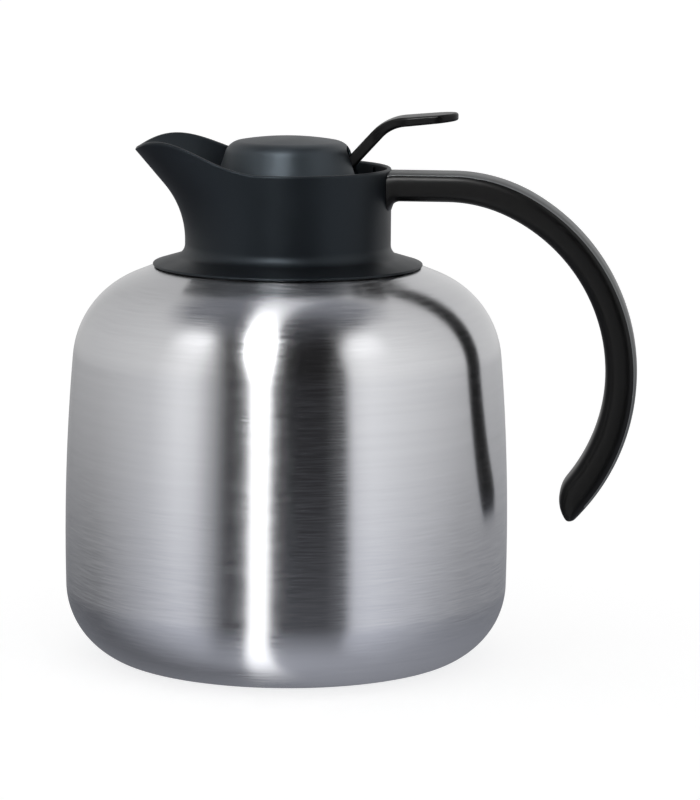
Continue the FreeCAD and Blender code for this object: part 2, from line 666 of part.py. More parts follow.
def outer_line(depth, end_angle):
    level = HANDLE_TOP_Z - depth
    edges = [line((ROOT_X, level), (OUTER_LEAD[0], level))]
    edges.append(arc(OUTER_LEAD, OUTER_LEAD_R - depth, 90, OUTER_TURN))
    edges.append(arc(OUTER_MID, HANDLE_OUTER_R - depth, OUTER_TURN, end_angle))
    return edges, on_circle(OUTER_MID, HANDLE_OUTER_R - depth, end_angle)


def handle_band(high_depth, low_depth, end_angle, width):
    high, high_end = outer_line(high_depth, end_angle)
    low, low_end = outer_line(low_depth, end_angle)
    root = line((ROOT_X, HANDLE_TOP_Z - high_depth), (ROOT_X, HANDLE_TOP_Z - low_depth))
    return across(high + low + [root, line(high_end, low_end)], width)


def handle_whole():
    outer_end = -math.degrees(math.acos((HANDLE_END_X - OUTER_MID[0]) / HANDLE_OUTER_R))
    inner_end = -math.degrees(math.acos((HANDLE_END_X - INNER_MID[0]) / HANDLE_INNER_R))
    edges, tip = outer_line(0, outer_end)
    heel = on_circle(INNER_MID, HANDLE_INNER_R, inner_end)
    flare_mid = (COLLAR_R + HANDLE_FLARE_R, HANDLE_UNDER_Z - HANDLE_FLARE_R)
    edges.append(line(tip, heel))
    edges.append(arc(INNER_MID, HANDLE_INNER_R, inner_end, INNER_TURN))
    edges.append(arc(INNER_LEAD, INNER_LEAD_R, INNER_TURN, 90))
    edges.append(line((INNER_LEAD[0], HANDLE_UNDER_Z), (flare_mid[0], HANDLE_UNDER_Z)))
    edges.append(arc(flare_mid, HANDLE_FLARE_R, 90, 180))
    edges.append(line((COLLAR_R, flare_mid[1]), (ROOT_X, flare_mid[1])))
    edges.append(line((ROOT_X, flare_mid[1]), (ROOT_X, HANDLE_TOP_Z)))
    solid = across(edges, HANDLE_W)
    solid = solid.makeFillet(HANDLE_END_UPPER_R, edges_across(solid, heel[0], heel[1], HANDLE_W / 2))
    solid = solid.makeFillet(HANDLE_TIP_R, edges_across(solid, tip[0], tip[1], HANDLE_W / 2))
    rims = []
    for edge in solid.Edges:
        on_side = all(abs(abs(vertex.Y) - HANDLE_W / 2) < NEAR for vertex in edge.Vertexes)
        same_side = abs(edge.Vertexes[0].Y - edge.Vertexes[-1].Y) < PAST
        if on_side and same_side and edge.BoundBox.XMax > COLLAR_R + NEAR:
            rims.append(edge)
    return solid.makeFillet(HANDLE_EDGE_R, rims)


def collar_room():
    return cylinder(COLLAR_R + HANDLE_SEAM, SPOUT_START_Z, RIM_Z + PAST)


def make_handle_cover():
    cover = handle_whole().common(handle_band(-PAST, COVER_T, COVER_END_ANGLE, COVER_W))
    return cover.cut(collar_room())


SCREW_SEAT_Z = TENON_LOW_Z - SCREW_SEAT_T


def make_handle_body():
    seat_turn = math.degrees(COVER_FIT / HANDLE_OUTER_R)
    seat = handle_band(-PAST, COVER_T + COVER_FIT, COVER_END_ANGLE - seat_turn, COVER_W + 2 * COVER_FIT)
    core = handle_band(0, CORE_DEPTH, CORE_END_ANGLE, CORE_W)
    solid = handle_whole().cut([seat, core, collar_room()])
    for x in SCREW_X:
        solid = solid.cut(cylinder(SCREW_R + SLEEVE_FIT, HANDLE_UNDER_Z - PAST, TENON_LOW_Z + PAST, x))
        solid = solid.cut(cylinder(HEAD_HOLE_R, HANDLE_UNDER_Z - PAST, SCREW_SEAT_Z, x))
    return solid


def make_screw(x):
    head_low = SCREW_SEAT_Z - SCREW_HEAD_H
    screw = cylinder(SCREW_HEAD_R, head_low, SCREW_SEAT_Z, x)
    screw = screw.fuse(cylinder(SCREW_R, SCREW_SEAT_Z, TENON_HIGH_Z - SCREW_TIP_COVER, x))
    half_w = RECESS_W / 2
    half_l = RECESS_L / 2
    recess_top = head_low + RECESS_H
    screw = screw.cut(box(x - half_l, x + half_l, -half_w, half_w, head_low - PAST, recess_top))
    return screw.cut(box(x - half_w, x + half_w, -half_l, half_l, head_low - PAST, recess_top))


def make_handle_screws():
    return Part.makeCompound([make_screw(x) for x in SCREW_X])


# Heights of the stopper, from the ledge upwards
STOPPER_FLANGE_Z = LEDGE_Z + SEAL_T + SEAL_PLAY
STOPPER_TOP_Z = STOPPER_FLANGE_Z + STOPPER_FLANGE_T
GUIDE_Z = STOPPER_TOP_Z - GUIDE_T
PLUG_LOW_Z = LEDGE_Z - PLUG_DEPTH
CUP_FLOOR_Z = PLUG_LOW_Z + CUP_FLOOR_T
SEAT_Z = CUP_FLOOR_Z + SEAT_LIP_H
DOME_LOW_Z = STOPPER_TOP_Z + PORT_H
DOME_SIDE_Z = DOME_LOW_Z + DOME_STRAIGHT_H
DOME_CORNER_Z = DOME_SIDE_Z + DOME_SIDE_H - DOME_CORNER_R * sin_deg(DOME_LEAN)
DOME_CORNER_OUT = DOME_R - DOME_SIDE_H * tan_deg(DOME_LEAN) - DOME_CORNER_R * cos_deg(DOME_LEAN)
PIVOT_Z = DOME_LOW_Z + PIVOT_ABOVE_DOME_FOOT


def make_stopper_seal():
    return ring(PLUG_R + SEAL_BORE_FIT, SEAL_R, LEDGE_Z, LEDGE_Z + SEAL_T)


def make_stopper_body():
    guide_room = GUIDE_R + GUIDE_FIT
    solid = revolve(closed_lines([
        (SEAT_HOLE_R, PLUG_LOW_Z),
        (PLUG_R - PLUG_CHAMFER, PLUG_LOW_Z),
        (PLUG_R, PLUG_LOW_Z + PLUG_CHAMFER),
        (PLUG_R, STOPPER_FLANGE_Z),
        (STOPPER_FLANGE_R, STOPPER_FLANGE_Z),
        (STOPPER_FLANGE_R, STOPPER_TOP_Z),
        (guide_room, STOPPER_TOP_Z),
        (guide_room, GUIDE_Z),
        (CUP_R, GUIDE_Z),
        (CUP_R, CUP_FLOOR_Z),
        (SEAT_LIP_R, CUP_FLOOR_Z),
        (SEAT_LIP_R, SEAT_Z),
        (SEAT_HOLE_R, SEAT_Z),
    ]))
    pillar_out = DOME_R - DOME_WALL - DOME_FIT
    turn = 360 / PILLAR_COUNT
    pieces = []
    for index in range(PILLAR_COUNT):
        middle = turn * (index + 0.5)
        top = DOME_LOW_Z + PILLAR_OVERLAP
        pieces.append(sector(guide_room, pillar_out, GUIDE_Z, top, middle, PILLAR_SPAN))
    lug_z = COLLAR_LUG_Z - LUG_T / cos_deg(LUG_SPAN / THREAD_STARTS) - LUG_GAP
    pieces += lug_ring(STOPPER_FLANGE_R - LUG_ROOT, STOPPER_LUG_R, lug_z)
    return solid.fuse(pieces)


EAR_IN = ROOT_W / 2 + EAR_GAP
EAR_OUT = EAR_IN + EAR_T


def make_stem_guide():
    solid = cylinder(GUIDE_R, GUIDE_Z, STOPPER_TOP_Z)
    for middle in (WINDOW_MID, -WINDOW_MID):
        window = sector(WINDOW_IN_R, WINDOW_OUT_R, GUIDE_Z - PAST, STOPPER_TOP_Z + PAST, middle, WINDOW_SPAN)
        solid = solid.cut(window)
    solid = solid.fuse(cylinder(BOSS_R, GUIDE_Z, STOPPER_TOP_Z + GUIDE_BOSS_H))
    ear_z0 = GUIDE_Z + GUIDE_T / 2
    for low_y, high_y in ((EAR_IN, EAR_OUT), (-EAR_OUT, -EAR_IN)):
        ear = box(PIVOT_X - HUB_R, PIVOT_X + HUB_R, low_y, high_y, ear_z0, PIVOT_Z)
        head_start = FreeCAD.Vector(PIVOT_X, low_y, PIVOT_Z)
        head = Part.makeCylinder(HUB_R, EAR_T, head_start, FreeCAD.Vector(0, 1, 0))
        solid = solid.fuse(ear.fuse(head))
    solid = solid.cut(cylinder(STEM_R + STEM_RUN_FIT, GUIDE_Z - PAST, PIVOT_Z))
    return solid.cut(cross_cylinder(PIN_R, EAR_OUT + PAST, PIVOT_X, PIVOT_Z))


def make_lever_pin():
    return cross_cylinder(PIN_R, EAR_OUT, PIVOT_X, PIVOT_Z)


def dome_outline(depth, low):
    radius = DOME_R - depth
    corner = (DOME_CORNER_OUT, DOME_CORNER_Z)
    meet = 90 - DOME_CROWN_ANGLE
    meet_point = on_circle(corner, DOME_CORNER_R, meet)
    crown_r = meet_point[0] / sin_deg(DOME_CROWN_ANGLE)
    crown_mid = (0, meet_point[1] - crown_r * cos_deg(DOME_CROWN_ANGLE))
    side = (radius, DOME_SIDE_Z - depth * tan_deg(DOME_LEAN / 2))
    side_end = on_circle(corner, DOME_CORNER_R - depth, DOME_LEAN)
    edges = [line((0, low), (radius, low)), line((radius, low), side), line(side, side_end)]
    edges.append(arc(corner, DOME_CORNER_R - depth, DOME_LEAN, meet))
    edges.append(arc(crown_mid, crown_r - depth, meet, 90))
    edges.append(line((0, crown_mid[1] + crown_r - depth), (0, low)))
    return edges


def make_stopper_dome():
    solid = revolve(dome_outline(0, DOME_LOW_Z))
    solid = solid.cut(revolve(dome_outline(DOME_WALL, DOME_LOW_Z - PAST)))
    half = ROOT_W / 2 + SLOT_SIDE_GAP
    top = DOME_CORNER_Z + DOME_CORNER_R + PAST
    return solid.cut(box(SLOT_FRONT_X, DOME_R + PAST, -half, half, DOME_LOW_Z - PAST, top))


def lever_side():
    bend = (PIVOT_X + BEND_OUT, PIVOT_Z + BEND_UP)
    arm = (cos_deg(ARM_TILT), sin_deg(ARM_TILT))
    pad = (cos_deg(PAD_TILT), sin_deg(PAD_TILT))
    turn = sin_deg(ARM_TILT - PAD_TILT)

    def bend_corner(arm_off, pad_off):
        along = (arm_off * cos_deg(ARM_TILT - PAD_TILT) - pad_off) / turn
        x = bend[0] - arm_off * arm[1] + along * arm[0]
        return (x, bend[1] + arm_off * arm[0] + along * arm[1])

    def arm_at(offset, z):
        along = (z - bend[1] - offset * arm[0]) / arm[1]
        return (bend[0] - offset * arm[1] + along * arm[0], z)

    def pad_at(offset, x):
        return (x, bend[1] + offset / pad[0] + (x - bend[0]) * tan_deg(PAD_TILT))

    upper = bend_corner(ARM_T / 2, PAD_T / 2)
    lower = bend_corner(-ARM_T / 2, -PAD_T / 2)
    outline = [
        (PIVOT_X, PIVOT_Z + HUB_R),
        arm_at(ARM_T / 2, PIVOT_Z + HUB_R),
        upper,
        pad_at(PAD_T / 2, LEVER_REACH),
        pad_at(-PAD_T / 2, LEVER_REACH),
        lower,
        arm_at(-ARM_T / 2, PIVOT_Z - HUB_R / 2),
        (PIVOT_X, PIVOT_Z - HUB_R),
        (FORK_TIP_X, PIVOT_Z - FORK_T),
        (FORK_TIP_X, PIVOT_Z),
        (PIVOT_X, PIVOT_Z),
    ]
    solid = across(closed_lines(outline), PAD_W)
    solid = solid.makeFillet(BEND_UPPER_R, edges_across(solid, upper[0], upper[1], PAD_W / 2))
    solid = solid.makeFillet(BEND_LOWER_R, edges_across(solid, lower[0], lower[1], PAD_W / 2))
    return solid


def lever_plan():
    half = ROOT_W / 2
    wide = PAD_W / 2
    start = PIVOT_X + FLARE_START
    end = PIVOT_X + FLARE_END
    ease = (end - start) * FLARE_EASE
    low = DOME_LOW_Z - PAST
    flare = Part.BezierCurve()
    poles = [(start, half), (start + ease, half), (end - ease, wide), (end, wide)]
    flare.setPoles([FreeCAD.Vector(x, y, low) for x, y in poles])
    back = FORK_TIP_X - PAST
    straight = Part.LineSegment(FreeCAD.Vector(back, half, low), FreeCAD.Vector(start, half, low)).toShape()
    round_x = LEVER_REACH - wide
    side = Part.LineSegment(FreeCAD.Vector(end, wide, low), FreeCAD.Vector(round_x, wide, low)).toShape()
    halves = [straight, flare.toShape(), side]
    halves += [edge.mirror(ORIGIN, FreeCAD.Vector(0, 1, 0)) for edge in halves]
    tip = Part.Arc(
        FreeCAD.Vector(round_x, wide, low),
        FreeCAD.Vector(LEVER_REACH, 0, low),
        FreeCAD.Vector(round_x, -wide, low),
    ).toShape()
    heel = Part.LineSegment(FreeCAD.Vector(back, -half, low), FreeCAD.Vector(back, half, low)).toShape()
    height = BEND_UP + DOME_SIDE_H + PIVOT_ABOVE_DOME_FOOT
    return face_of(halves + [tip, heel]).extrude(at(0, height))


def soften_pad(lever):
    limit = PIVOT_X + FLARE_START
    rims = []
    for edge in lever.Edges:
        if edge.BoundBox.XMin > limit and edge.BoundBox.YLength > 0 and edge.Length > PAD_T + PAST:
            if edge.BoundBox.YLength < PAD_W - PAST or edge.BoundBox.XLength > PAST:
                rims.append(edge)
    return lever.makeFillet(PAD_EDGE_R, rims)


def make_lever():
    solid = lever_side().common(lever_plan())
    solid = soften_pad(solid)
    solid = solid.fuse(cross_cylinder(HUB_R, ROOT_W / 2, PIVOT_X, PIVOT_Z))
    slot_half = STEM_R + STEM_FORK_GAP
    slot = box(FORK_TIP_X - PAST, FORK_ROOT_X, -slot_half, slot_half, PIVOT_Z - HUB_R - PAST, PIVOT_Z + PAST)
    solid = solid.cut(slot)
    return solid.cut(cross_cylinder(PIN_R + PIN_RUN_FIT, ROOT_W, PIVOT_X, PIVOT_Z))


# Heights of the valve, from its seat upwards
VALVE_SEAL_Z = SEAT_Z + VALVE_PLAY
VALVE_Z = VALVE_SEAL_Z + VALVE_SEAL_T
VALVE_TOP_Z = VALVE_Z + VALVE_T
BOSS_TOP_Z = VALVE_TOP_Z + BOSS_H
STEM_LOW_Z = BOSS_TOP_Z - STEM_SOCKET_DEPTH
CROSS_PIN_Z = PIVOT_Z + CROSS_PIN_LIFT_GAP + CROSS_PIN_R


def make_valve_plug():
    solid = revolve(closed_lines([
        (0, VALVE_SEAL_Z),
        (VALVE_SEAL_IN_R, VALVE_SEAL_Z),
        (VALVE_SEAL_IN_R, VALVE_Z),
        (VALVE_R, VALVE_Z),
        (VALVE_R, VALVE_TOP_Z),
        (BOSS_R, VALVE_TOP_Z),
        (BOSS_R, BOSS_TOP_Z),
        (STEM_R, BOSS_TOP_Z),
        (STEM_R, STEM_LOW_Z),
        (0, STEM_LOW_Z),
    ]))
    return solid


def make_valve_seal():
    return ring(VALVE_SEAL_IN_R, VALVE_SEAL_OUT_R, VALVE_SEAL_Z, VALVE_Z)


def make_valve_stem():
    top = CROSS_PIN_Z + STEM_ABOVE_PIN
    solid = revolve(closed_lines([
        (0, STEM_LOW_Z),
        (STEM_R, STEM_LOW_Z),
        (STEM_R, top - STEM_TIP_CHAMFER),
        (STEM_R - STEM_TIP_CHAMFER, top),
        (0, top),
    ]))
    return solid.cut(cross_cylinder(CROSS_PIN_R, STEM_R + PAST, 0, CROSS_PIN_Z))


def make_stem_pin():
    return cross_cylinder(CROSS_PIN_R, CROSS_PIN_HALF_L, 0, CROSS_PIN_Z)


def helix_point(radius, low, pitch, turn):
    angle = 2 * math.pi * turn
    return FreeCAD.Vector(radius * math.cos(angle), radius * math.sin(angle), low + pitch * turn)


def helix_tangent(radius, pitch, turn):
    angle = 2 * math.pi * turn
    along = FreeCAD.Vector(-radius * math.sin(angle), radius * math.cos(angle), pitch / (2 * math.pi))
    return along.normalize()


def arc_from(start, tangent, end):
    chord = end - start
    across_chord = tangent - chord * (tangent.dot(chord) / chord.dot(chord))
    bulge = math.tan(tangent.getAngle(chord) / 2) * chord.Length / 2
    middle = (start + end) * 0.5 + across_chord.normalize() * bulge
    return Part.Arc(start, middle, end).toShape()


def biarc(start, start_tangent, end, end_tangent):
    chord = end - start
    both = chord.dot(start_tangent + end_tangent)
    spread = 2 * (1 - start_tangent.dot(end_tangent))
    reach = (math.sqrt(both ** 2 + spread * chord.dot(chord)) - both) / spread
    joint = (start + start_tangent * reach + end - end_tangent * reach) * 0.5
    return [arc_from(start, start_tangent, joint), arc_from(end, end_tangent * -1, joint)]


def make_valve_spring():
    low = VALVE_TOP_Z + SPRING_WIRE_R + SPRING_PLAY
    high = GUIDE_Z - SPRING_WIRE_R - SPRING_PLAY
    pitch = (high - low) / SPRING_TURNS
    print("least gap between the turns of the spring", round(pitch - 2 * SPRING_WIRE_R, 2))
    edges = []
    for quarter in range(4 * SPRING_TURNS):
        turns = (quarter / 4, (quarter + 1) / 4)
        points = [helix_point(SPRING_R, low, pitch, turn) for turn in turns]
        tangents = [helix_tangent(SPRING_R, pitch, turn) for turn in turns]
        edges += biarc(points[0], tangents[0], points[1], tangents[1])
    path = Part.Wire(Part.__sortEdges__(edges))
    start = helix_point(SPRING_R, low, pitch, 0)
    outline = Part.Wire(Part.Circle(start, helix_tangent(SPRING_R, pitch, 0), SPRING_WIRE_R).toShape())
    return path.makePipeShell([outline], True, False)


PARTS = {
    "outer_shell": make_outer_shell,
    "inner_vessel": make_inner_vessel,
    "base_plate": make_base_plate,
    "vacuum_seal": make_vacuum_seal,
    "getter": make_getter,
    "neck_gasket": make_neck_gasket,
    "collar": make_collar,
    "handle_body": make_handle_body,
    "handle_cover": make_handle_cover,
    "handle_screws": make_handle_screws,
    "stopper_seal": make_stopper_seal,
    "stopper_body": make_stopper_body,
    "stem_guide": make_stem_guide,
    "lever_pin": make_lever_pin,
    "stopper_dome": make_stopper_dome,
    "lever": make_lever,
    "valve_plug": make_valve_plug,
    "valve_seal": make_valve_seal,
    "valve_stem": make_valve_stem,
    "stem_pin": make_stem_pin,
    "valve_spring": make_valve_spring,
}

FRAME_X = (OUTER_REACH - BODY_R) / 2


def write_parts():
    os.makedirs("parts", exist_ok=True)
    for name, make in PARTS.items():
        shape = make()
        shape.translate(at(-FRAME_X, 0))
        shape.exportStep("parts/" + name + ".step")
        state = "valid" if shape.isValid() else "not valid"
        print(name, len(shape.Solids), state, round(shape.Volume, 1))


write_parts()
brim = revolve(liner_volume_outline())
print("liner to the brim, litres", round(brim.Volume / 1e6, 3))
print("axis of the body at x", -FRAME_X, "rim", RIM_Z, "ledge", LEDGE_Z)
print("pivot", PIVOT_X - FRAME_X, PIVOT_Z, "underside of the stem guide", GUIDE_Z, "bottom of the stopper", PLUG_LOW_Z)
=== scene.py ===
# %% [markdown]
# # An insulated jug with a lever stopper
# The jug is a brushed steel body under a dark plastic collar with a pouring beak, an open
# C-shaped handle and a screw-in stopper with a thumb lever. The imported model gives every
# solid its place, in metres. Its meshes could be shown as they are, but broad shiny faces
# show every facet, so the four large outside pieces are made anew at a finer step, and the
# other solids only get finishes.

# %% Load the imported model
import json
import math

import bpy
import numpy as np
from mathutils import Matrix, Vector


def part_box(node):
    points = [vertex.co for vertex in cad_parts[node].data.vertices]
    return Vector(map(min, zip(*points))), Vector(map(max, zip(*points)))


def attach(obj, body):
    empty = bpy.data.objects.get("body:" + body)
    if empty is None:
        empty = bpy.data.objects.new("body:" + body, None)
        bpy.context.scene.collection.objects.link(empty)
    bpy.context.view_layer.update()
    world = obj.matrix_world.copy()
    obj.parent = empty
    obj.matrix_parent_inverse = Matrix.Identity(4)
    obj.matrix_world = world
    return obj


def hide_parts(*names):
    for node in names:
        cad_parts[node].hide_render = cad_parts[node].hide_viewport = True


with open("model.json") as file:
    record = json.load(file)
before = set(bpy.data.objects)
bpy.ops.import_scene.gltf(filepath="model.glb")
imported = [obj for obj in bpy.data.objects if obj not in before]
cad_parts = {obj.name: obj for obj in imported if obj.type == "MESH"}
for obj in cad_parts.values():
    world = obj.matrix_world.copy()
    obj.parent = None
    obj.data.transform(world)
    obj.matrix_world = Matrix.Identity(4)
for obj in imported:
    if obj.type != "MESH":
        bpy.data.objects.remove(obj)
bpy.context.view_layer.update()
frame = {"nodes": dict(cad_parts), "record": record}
nodes = frame["nodes"]
MM = 0.001
AXIS_X = -22.85

# %% [markdown]
# ## Camera
# The photo was taken with a long lens a little above the rim, from slightly towards the
# handle. A camera aimed by eye leaves every outline a little off. Here distance, height, tilt
# and lens come from a fit to the outline of the body. The axes of the camera are built from
# the angles directly, which also carries the small roll.

# %% Camera
CAMERA_AWAY = 1.3
CAMERA_HEIGHT = 0.2978
CAMERA_SIDE = math.radians(6.0)
CAMERA_TILT = math.radians(8.98)
CAMERA_PAN = math.radians(1.0)
CAMERA_ROLL = math.radians(0.45)
FOCAL_PIXELS = 3645.0
FRAME_HIGH = 800.0
SENSOR_HIGH = 36.0

side_axis = Vector((math.cos(CAMERA_SIDE), math.sin(CAMERA_SIDE), 0.0))
away_axis = Vector((-math.sin(CAMERA_SIDE), math.cos(CAMERA_SIDE), 0.0))
level_ahead = side_axis * math.sin(CAMERA_PAN) + away_axis * math.cos(CAMERA_PAN)
level_right = side_axis * math.cos(CAMERA_PAN) - away_axis * math.sin(CAMERA_PAN)
up_axis = level_ahead * math.sin(CAMERA_TILT) + Vector((0, 0, math.cos(CAMERA_TILT)))
ahead = level_ahead * math.cos(CAMERA_TILT) - Vector((0, 0, math.sin(CAMERA_TILT)))
right = level_right * math.cos(CAMERA_ROLL) + up_axis * math.sin(CAMERA_ROLL)
up = up_axis * math.cos(CAMERA_ROLL) - level_right * math.sin(CAMERA_ROLL)
camera_data = bpy.data.cameras.new("camera")
camera_data.sensor_fit = "VERTICAL"
camera_data.sensor_height = SENSOR_HIGH
camera_data.lens = FOCAL_PIXELS / FRAME_HIGH * SENSOR_HIGH
camera = bpy.data.objects.new("camera", camera_data)
place = away_axis * -CAMERA_AWAY + Vector((AXIS_X * MM, 0, CAMERA_HEIGHT))
turn = Matrix((right, up, -ahead)).transposed().to_4x4()
camera.matrix_world = Matrix.Translation(place) @ turn
bpy.context.scene.collection.objects.link(camera)
bpy.context.scene.camera = camera
bpy.context.scene.view_settings.view_transform = "Standard"
print("camera lens:", round(camera_data.lens, 1), "mm")

# %% [markdown]
# ## Surfaces from grids
# Every new piece is a grid of points worked out with numpy. Blender's own Spin and Bevel
# could shape them too, but a formula gives the exact arcs of the solids. One helper turns
# such grids into one mesh: neighbours in the grid become a quad, and a grid can wrap round in
# either direction, which closes a turned piece without a seam.

# %% Mesh from grids
SHARP_DEGREES = 40.0


def grid_quads(rows, columns, wrap_rows, wrap_columns):
    """Indices of the quads between neighbouring grid points, wrapping where asked."""
    index = np.arange(rows * columns).reshape(rows, columns)
    if wrap_rows:
        index = np.vstack([index, index[:1]])
    if wrap_columns:
        index = np.hstack([index, index[:, :1]])
    corners = [index[:-1, :-1], index[:-1, 1:], index[1:, 1:], index[1:, :-1]]
    return np.stack([corner.ravel() for corner in corners], axis=1)


def enclosed_volume(points, quads):
    """Volume inside closed quads: the sum of signed tetrahedra from the middle of the points."""
    a, b, c, d = np.moveaxis(points[quads] - points.mean(axis=0), 1, 0)
    halves = np.cross(b, c) + np.cross(c, d)
    return float(np.einsum("ij,ij->", a, halves)) / 6.0


def grids_to_object(name, grids):
    """One mesh from several grids of (rows, columns, xyz), each with its two wrap flags."""
    points, quads, start = [], [], 0
    for grid, wrap_rows, wrap_columns in grids:
        rows, columns = grid.shape[:2]
        flat = grid.reshape(-1, 3)
        faces = grid_quads(rows, columns, wrap_rows, wrap_columns)
        if wrap_columns and enclosed_volume(flat, faces) < 0:
            faces = faces[:, ::-1]
        points.append(flat)
        quads.append(faces + start)
        start += rows * columns
    points, quads = np.vstack(points), np.vstack(quads)
    mesh = bpy.data.meshes.new(name)
    mesh.vertices.add(len(points))
    mesh.vertices.foreach_set("co", points.astype(np.float32).ravel())
    mesh.loops.add(quads.size)
    mesh.loops.foreach_set("vertex_index", quads.astype(np.int32).ravel())
    mesh.polygons.add(len(quads))
    mesh.polygons.foreach_set("loop_start", np.arange(0, quads.size, 4, dtype=np.int32))
    mesh.polygons.foreach_set("use_smooth", np.ones(len(quads), dtype=bool))
    mesh.update(calc_edges=True)
    mesh.validate()
    mesh.set_sharp_from_angle(angle=math.radians(SHARP_DEGREES))
    piece = bpy.data.objects.new(name, mesh)
    bpy.context.scene.collection.objects.link(piece)
    print(name, "faces:", len(quads))
    return piece


print("quads between 3 rows of 4 points:", len(grid_quads(3, 4, False, False)))

# %% Lines, arcs and turned profiles
SAME_POINT = 1e-6


def on_circle(centre, radius, degrees):
    """Point of a circle: the centre plus radius times cosine and sine of the angle."""
    angle = math.radians(degrees)
    return np.array([centre[0] + radius * math.cos(angle), centre[1] + radius * math.sin(angle)])


def arc_points(centre, radius, start, end, count):
    """Points on a circle about centre from angle start to end, in degrees."""
    angles = np.radians(np.linspace(start, end, count))
    x, y = centre[0] + radius * np.cos(angles), centre[1] + radius * np.sin(angles)
    return np.stack([x, y], axis=1)


def line_points(start, end, count):
    """Evenly spaced points on the straight line from start to end."""
    share = np.linspace(0.0, 1.0, count)[:, None]
    return np.array(start) * (1 - share) + np.array(end) * share


def heading(start, end):
    """Direction from one point to another in the plane of a profile, in degrees."""
    return math.degrees(math.atan2(end[1] - start[1], end[0] - start[0]))


def join_profile(*stretches):
    """One run of points with repeated joints left out."""
    run = np.vstack(stretches)
    keep = np.ones(len(run), dtype=bool)
    keep[1:] = np.linalg.norm(np.diff(run, axis=0), axis=1) > SAME_POINT
    return run[keep]


def turned(profile, count):
    """A profile of (radius, height) in millimetres carried once around the axis of the body."""
    angles = np.linspace(0.0, 2 * np.pi, count, endpoint=False)
    radius, height = profile[:, 0][:, None], profile[:, 1][:, None]
    x = AXIS_X + radius * np.cos(angles)
    y = radius * np.sin(angles)
    z = np.broadcast_to(height, x.shape)
    return np.stack([x, y, z], axis=2) * MM


def shut_ends(rows):
    """Rows of a bar in metres, with both ends drawn shut to the middle of the last rows."""
    ends = [np.broadcast_to(row.mean(axis=0), row.shape) for row in (rows[0], rows[-1])]
    return np.concatenate([ends[0][None], rows, ends[1][None]]) * MM


print("heading of a line at 45 degrees:", heading((0, 0), (1, 1)))

# %% [markdown]
# ## Steel body
# The outside is a deep-drawn steel pot with a softly barrelled side, a round base corner, a
# round shoulder and a cone that disappears under the collar. A smoothed coarse mesh would do
# for a matt pot, but reflections show every flat spot, so the wall is turned from true arcs
# that touch each other, at a fine step.

# %% Arcs of the steel body
BODY_R, BELLY_Z, SIDE_ARC_R = 80.0, 42.4, 760.0
BASE_UPPER_R, BASE_LOWER_R, BASE_TURN = 28.0, 14.0, 60.5
SHOULDER_ARC_R, SHOULDER_SLOPE, CROWN_SLOPE = 34.0, 22.0, 8.0
FLANGE_R, SHOULDER_Z, CROWN_IN = 48.4, 140.8, 1.9
CONE_UP, CROWN_UP = 90.0 - SHOULDER_SLOPE, 90.0 - CROWN_SLOPE

side_mid = np.array([BODY_R - SIDE_ARC_R, BELLY_Z])
corner_z = BASE_LOWER_R + (BASE_UPPER_R - BASE_LOWER_R) * math.sin(math.radians(BASE_TURN))
corner_out = math.sqrt((SIDE_ARC_R - BASE_UPPER_R) ** 2 - (corner_z - BELLY_Z) ** 2)
corner_mid = np.array([side_mid[0] + corner_out, corner_z])
foot_mid = on_circle(corner_mid, BASE_UPPER_R - BASE_LOWER_R, -BASE_TURN)
cone_foot = on_circle((FLANGE_R, SHOULDER_Z), -SHOULDER_ARC_R, CONE_UP)
cone_run = on_circle((0.0, 0.0), 1.0, -SHOULDER_SLOPE)
foot_gap = cone_foot - side_mid
along_cone = foot_gap @ cone_run
touch_square = (SIDE_ARC_R - SHOULDER_ARC_R) ** 2 - foot_gap @ foot_gap
shoulder_mid = cone_foot + (math.sqrt(along_cone ** 2 + touch_square) - along_cone) * cone_run
print("centres of corner and shoulder:", np.round(corner_mid, 2), np.round(shoulder_mid, 2))

# %% Wall of the steel body
STAND_RING_W = 5.0
RING_STEPS, FOOT_STEPS, CORNER_STEPS, SIDE_STEPS, SHOULDER_STEPS, CONE_STEPS = 4, 16, 40, 60, 50, 6


def crown_edge(depth):
    """Where the cone meets the flatter crown, with the wall moved inwards by depth."""
    rise = CROWN_IN * math.tan(math.radians(SHOULDER_SLOPE))
    mitre = depth / math.cos(math.radians(CROWN_UP - CONE_UP) / 2)
    return on_circle((FLANGE_R - CROWN_IN, SHOULDER_Z + rise), -mitre, (CONE_UP + CROWN_UP) / 2)


def crown_height(radius, depth=0.0):
    """Height of the flatter crown at a radius, with the wall moved inwards by depth."""
    edge = crown_edge(depth)
    return edge[1] + (edge[0] - radius) * math.tan(math.radians(CROWN_SLOPE))


def body_wall(depth, neck_r, top_z):
    """Base ring, two base arcs, side arc, shoulder arc, two cones and neck, moved in by depth."""
    low, high = heading(side_mid, corner_mid), heading(side_mid, shoulder_mid)
    cone_start = on_circle(shoulder_mid, SHOULDER_ARC_R - depth, CONE_UP)
    neck_foot = (neck_r, crown_height(neck_r, depth))
    ring = ((foot_mid[0] - STAND_RING_W, depth), (foot_mid[0], depth))
    return join_profile(
        line_points(*ring, RING_STEPS),
        arc_points(foot_mid, BASE_LOWER_R - depth, -90, -BASE_TURN, FOOT_STEPS),
        arc_points(corner_mid, BASE_UPPER_R - depth, -BASE_TURN, low, CORNER_STEPS),
        arc_points(side_mid, SIDE_ARC_R - depth, low, high, SIDE_STEPS),
        arc_points(shoulder_mid, SHOULDER_ARC_R - depth, high, CONE_UP, SHOULDER_STEPS),
        line_points(cone_start, crown_edge(depth), CONE_STEPS),
        line_points(crown_edge(depth), neck_foot, CONE_STEPS),
        line_points(neck_foot, (neck_r, top_z), CONE_STEPS),
    )


print("edge of the crown:", np.round(crown_edge(0.0), 2))

